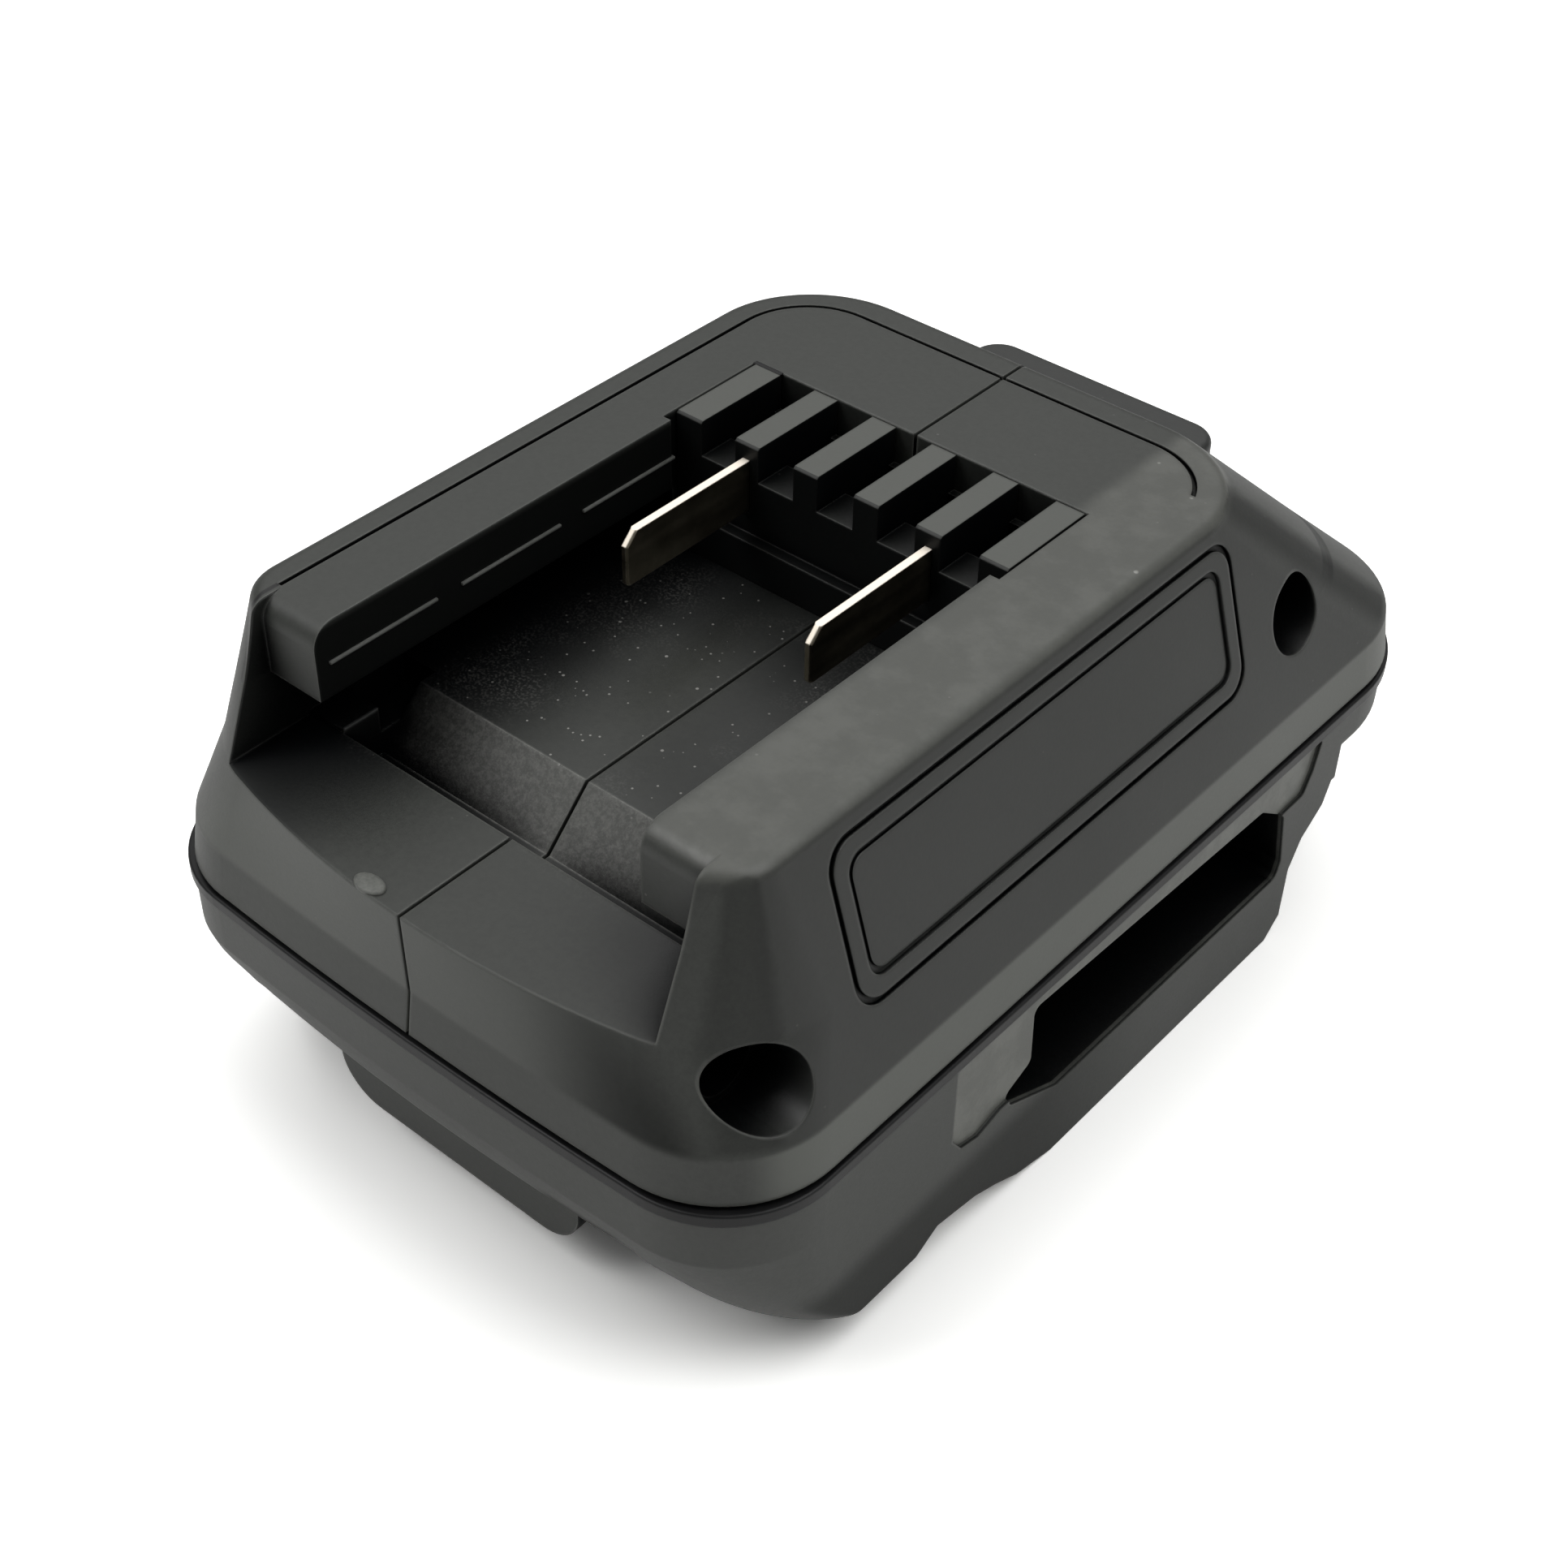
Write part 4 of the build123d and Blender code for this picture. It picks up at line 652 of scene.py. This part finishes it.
# shrunk sleeve on each capacitor, with the rolled rim of the can left bare above it
sleeve = {"x": 0.0135, "y": -0.00302, "radius": 0.00407, "fromFoot": 0.0024, "fromTop": 0.0038,
          "sides": 64, "round": 0.00012}
sleeveFilm = leadSheath("sleeveFilm", sleeveSkin)
cansLow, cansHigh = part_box("filter_capacitors")
sleeveLow, sleeveHigh = cansLow.z + sleeve["fromFoot"], cansHigh.z - sleeve["fromTop"]
for sign in (-1, 1):
    centre = (sign * sleeve["x"], sleeve["y"], (sleeveLow + sleeveHigh) / 2)
    bpy.ops.object.select_all(action="DESELECT")
    bpy.ops.mesh.primitive_cylinder_add(vertices=sleeve["sides"], radius=sleeve["radius"],
                                        depth=sleeveHigh - sleeveLow, location=centre)
    finishPiece(bpy.context.object, "capacitorSleeve", sleeveFilm, "housing", sleeve["round"])

# copper turns round the choke, flattened where they meet the board
coil = {"y": -0.01661, "ring": 0.0054, "around": 0.00238, "wire": 0.00028, "turns": 18,
        "overBoard": 0.00002, "sides": 28, "wireSides": 8}
copper = brushedMetal("windingCopper", copperMetal)
chokeLow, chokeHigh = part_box("filter_choke")
coilLevel, coilFloor = (chokeLow.z + chokeHigh.z) / 2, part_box("circuit_board")[1].z + coil["overBoard"]
for i in range(coil["turns"]):
    turnAngle = 2 * math.pi * i / coil["turns"]
    centre = (coil["ring"] * math.cos(turnAngle), coil["y"] + coil["ring"] * math.sin(turnAngle), coilLevel)
    bpy.ops.object.select_all(action="DESELECT")
    bpy.ops.mesh.primitive_torus_add(major_radius=coil["around"], minor_radius=coil["wire"],
                                     major_segments=coil["sides"], minor_segments=coil["wireSides"],
                                     rotation=(math.pi / 2, 0, turnAngle), location=centre)
    winding = bpy.context.object
    bpy.ops.object.transform_apply(location=True, rotation=True, scale=True)
    for point in winding.data.vertices:
        point.co.z = max(point.co.z, coilFloor)
    finishPiece(winding, "chokeTurn", copper, "housing")
print("small pieces made")

# the room: a pale floor that the camera sees near white, a white world and soft lamps
room = {"floor": (0.86, 0.86, 0.85), "shown": (1.47, 1.47, 1.45), "size": 4.0, "fade": (0.30, 0.55),
        "white": (1, 1, 1), "world": 0.22}
bpy.ops.object.select_all(action="DESELECT")
bpy.ops.mesh.primitive_plane_add(size=room["size"], location=(0, 0, 0))
floor = bpy.context.object
floor.name = "floor"
floorMaterial, wire = startMaterial("paleFloor")
plain = wire.node("BsdfDiffuse", None, {"Color": rgba(room["floor"])})
paper = wire.node("BsdfDiffuse", None, {"Color": rgba(room["shown"])})
pureWhite = wire.node("Emission", None, {"Color": rgba(room["white"]), "Strength": 1.0})
reach = wire.node("VectorMath", {"operation": "LENGTH"}, {0: objectPlace(wire)}, out=1)
shown = wire.node("MixShader", None, {"Fac": reach.rise(*room["fade"]), 1: paper, 2: pureWhite})
toCamera = wire.node("LightPath")
upperSide = wire.node("MixShader", None, {"Fac": toCamera, 1: plain, 2: shown})
fromBelow = wire.node("NewGeometry", out=6)
clear = wire.node("BsdfTransparent", None, {"Color": rgba(room["white"])})
closeMaterial(wire, wire.node("MixShader", None, {"Fac": fromBelow, 1: upperSide, 2: clear}))
floor.data.materials.append(floorMaterial)

world = bpy.data.worlds.new("studio")
bpy.context.scene.world = world
world.use_nodes = True
world.node_tree.nodes.clear()
wire = Wire(world.node_tree)
toCamera = wire.node("LightPath")
seen = (toCamera + toCamera.other("Is Transmission Ray")).clamped()
strength = room["world"] + seen * (1 - room["world"])
sky = wire.node("Background", None, {"Color": rgba(room["white"]), "Strength": strength})
output = wire.tree.nodes.new("ShaderNodeOutputWorld")
wire.tree.links.new(sky.socket, output.inputs["Surface"])


def softLamp(name, place, target, size, power):
    bpy.ops.object.light_add(type="AREA", location=place)
    lamp = bpy.context.object
    lamp.name = name
    lamp.data.shape = "RECTANGLE"
    lamp.data.size, lamp.data.size_y = size
    lamp.data.energy = power
    aim = Vector(target) - Vector(place)
    lamp.rotation_mode = "QUATERNION"
    lamp.rotation_quaternion = aim.to_track_quat("-Z", "Y")


# name, place, what it is aimed at, size in metres, power in watts
lamps = [
    ("skyBox", (-0.25, 0.30, 0.85), (0, 0, 0.03), (1.3, 1.3), 5.8),
    ("rightSweep", (0.28, 0.05, 0.40), (0.16, 0.02, 0), (0.25, 0.35), 1.0),
    ("leftSweep", (-0.22, -0.30, 0.45), (-0.10, -0.14, 0), (0.3, 0.3), 1.25),
]
for lamp in lamps:
    softLamp(*lamp)
print("room and", len(lamps), "lamps")

# the camera, solved from the edges in the photograph, angles in degrees
eye = {"place": (0.12557, -0.15767, 0.19263), "turn": 39.852, "tilt": 40.442, "roll": 1.132,
       "lens": 55.384, "sensor": 36.0, "near": 0.005}
turn, tilt, roll = [math.radians(eye[key]) for key in ("turn", "tilt", "roll")]
back = Vector((math.sin(turn) * math.cos(tilt), -math.cos(turn) * math.cos(tilt), math.sin(tilt)))
right = Vector((math.cos(turn), math.sin(turn), 0))
above = back.cross(right)
rightRolled = right * math.cos(roll) + above * math.sin(roll)
aboveRolled = above * math.cos(roll) - right * math.sin(roll)
bpy.ops.object.camera_add(location=eye["place"])
camera = bpy.context.object
camera.name = "photoCamera"
camera.data.lens = eye["lens"]
camera.data.sensor_width = eye["sensor"]
camera.data.clip_start = eye["near"]
camera.matrix_world = Matrix.Translation(eye["place"]) @ \
    Matrix((rightRolled, aboveRolled, back)).transposed().to_4x4()
bpy.context.scene.camera = camera
bpy.context.scene.view_settings.view_transform = "Standard"
print("camera set")
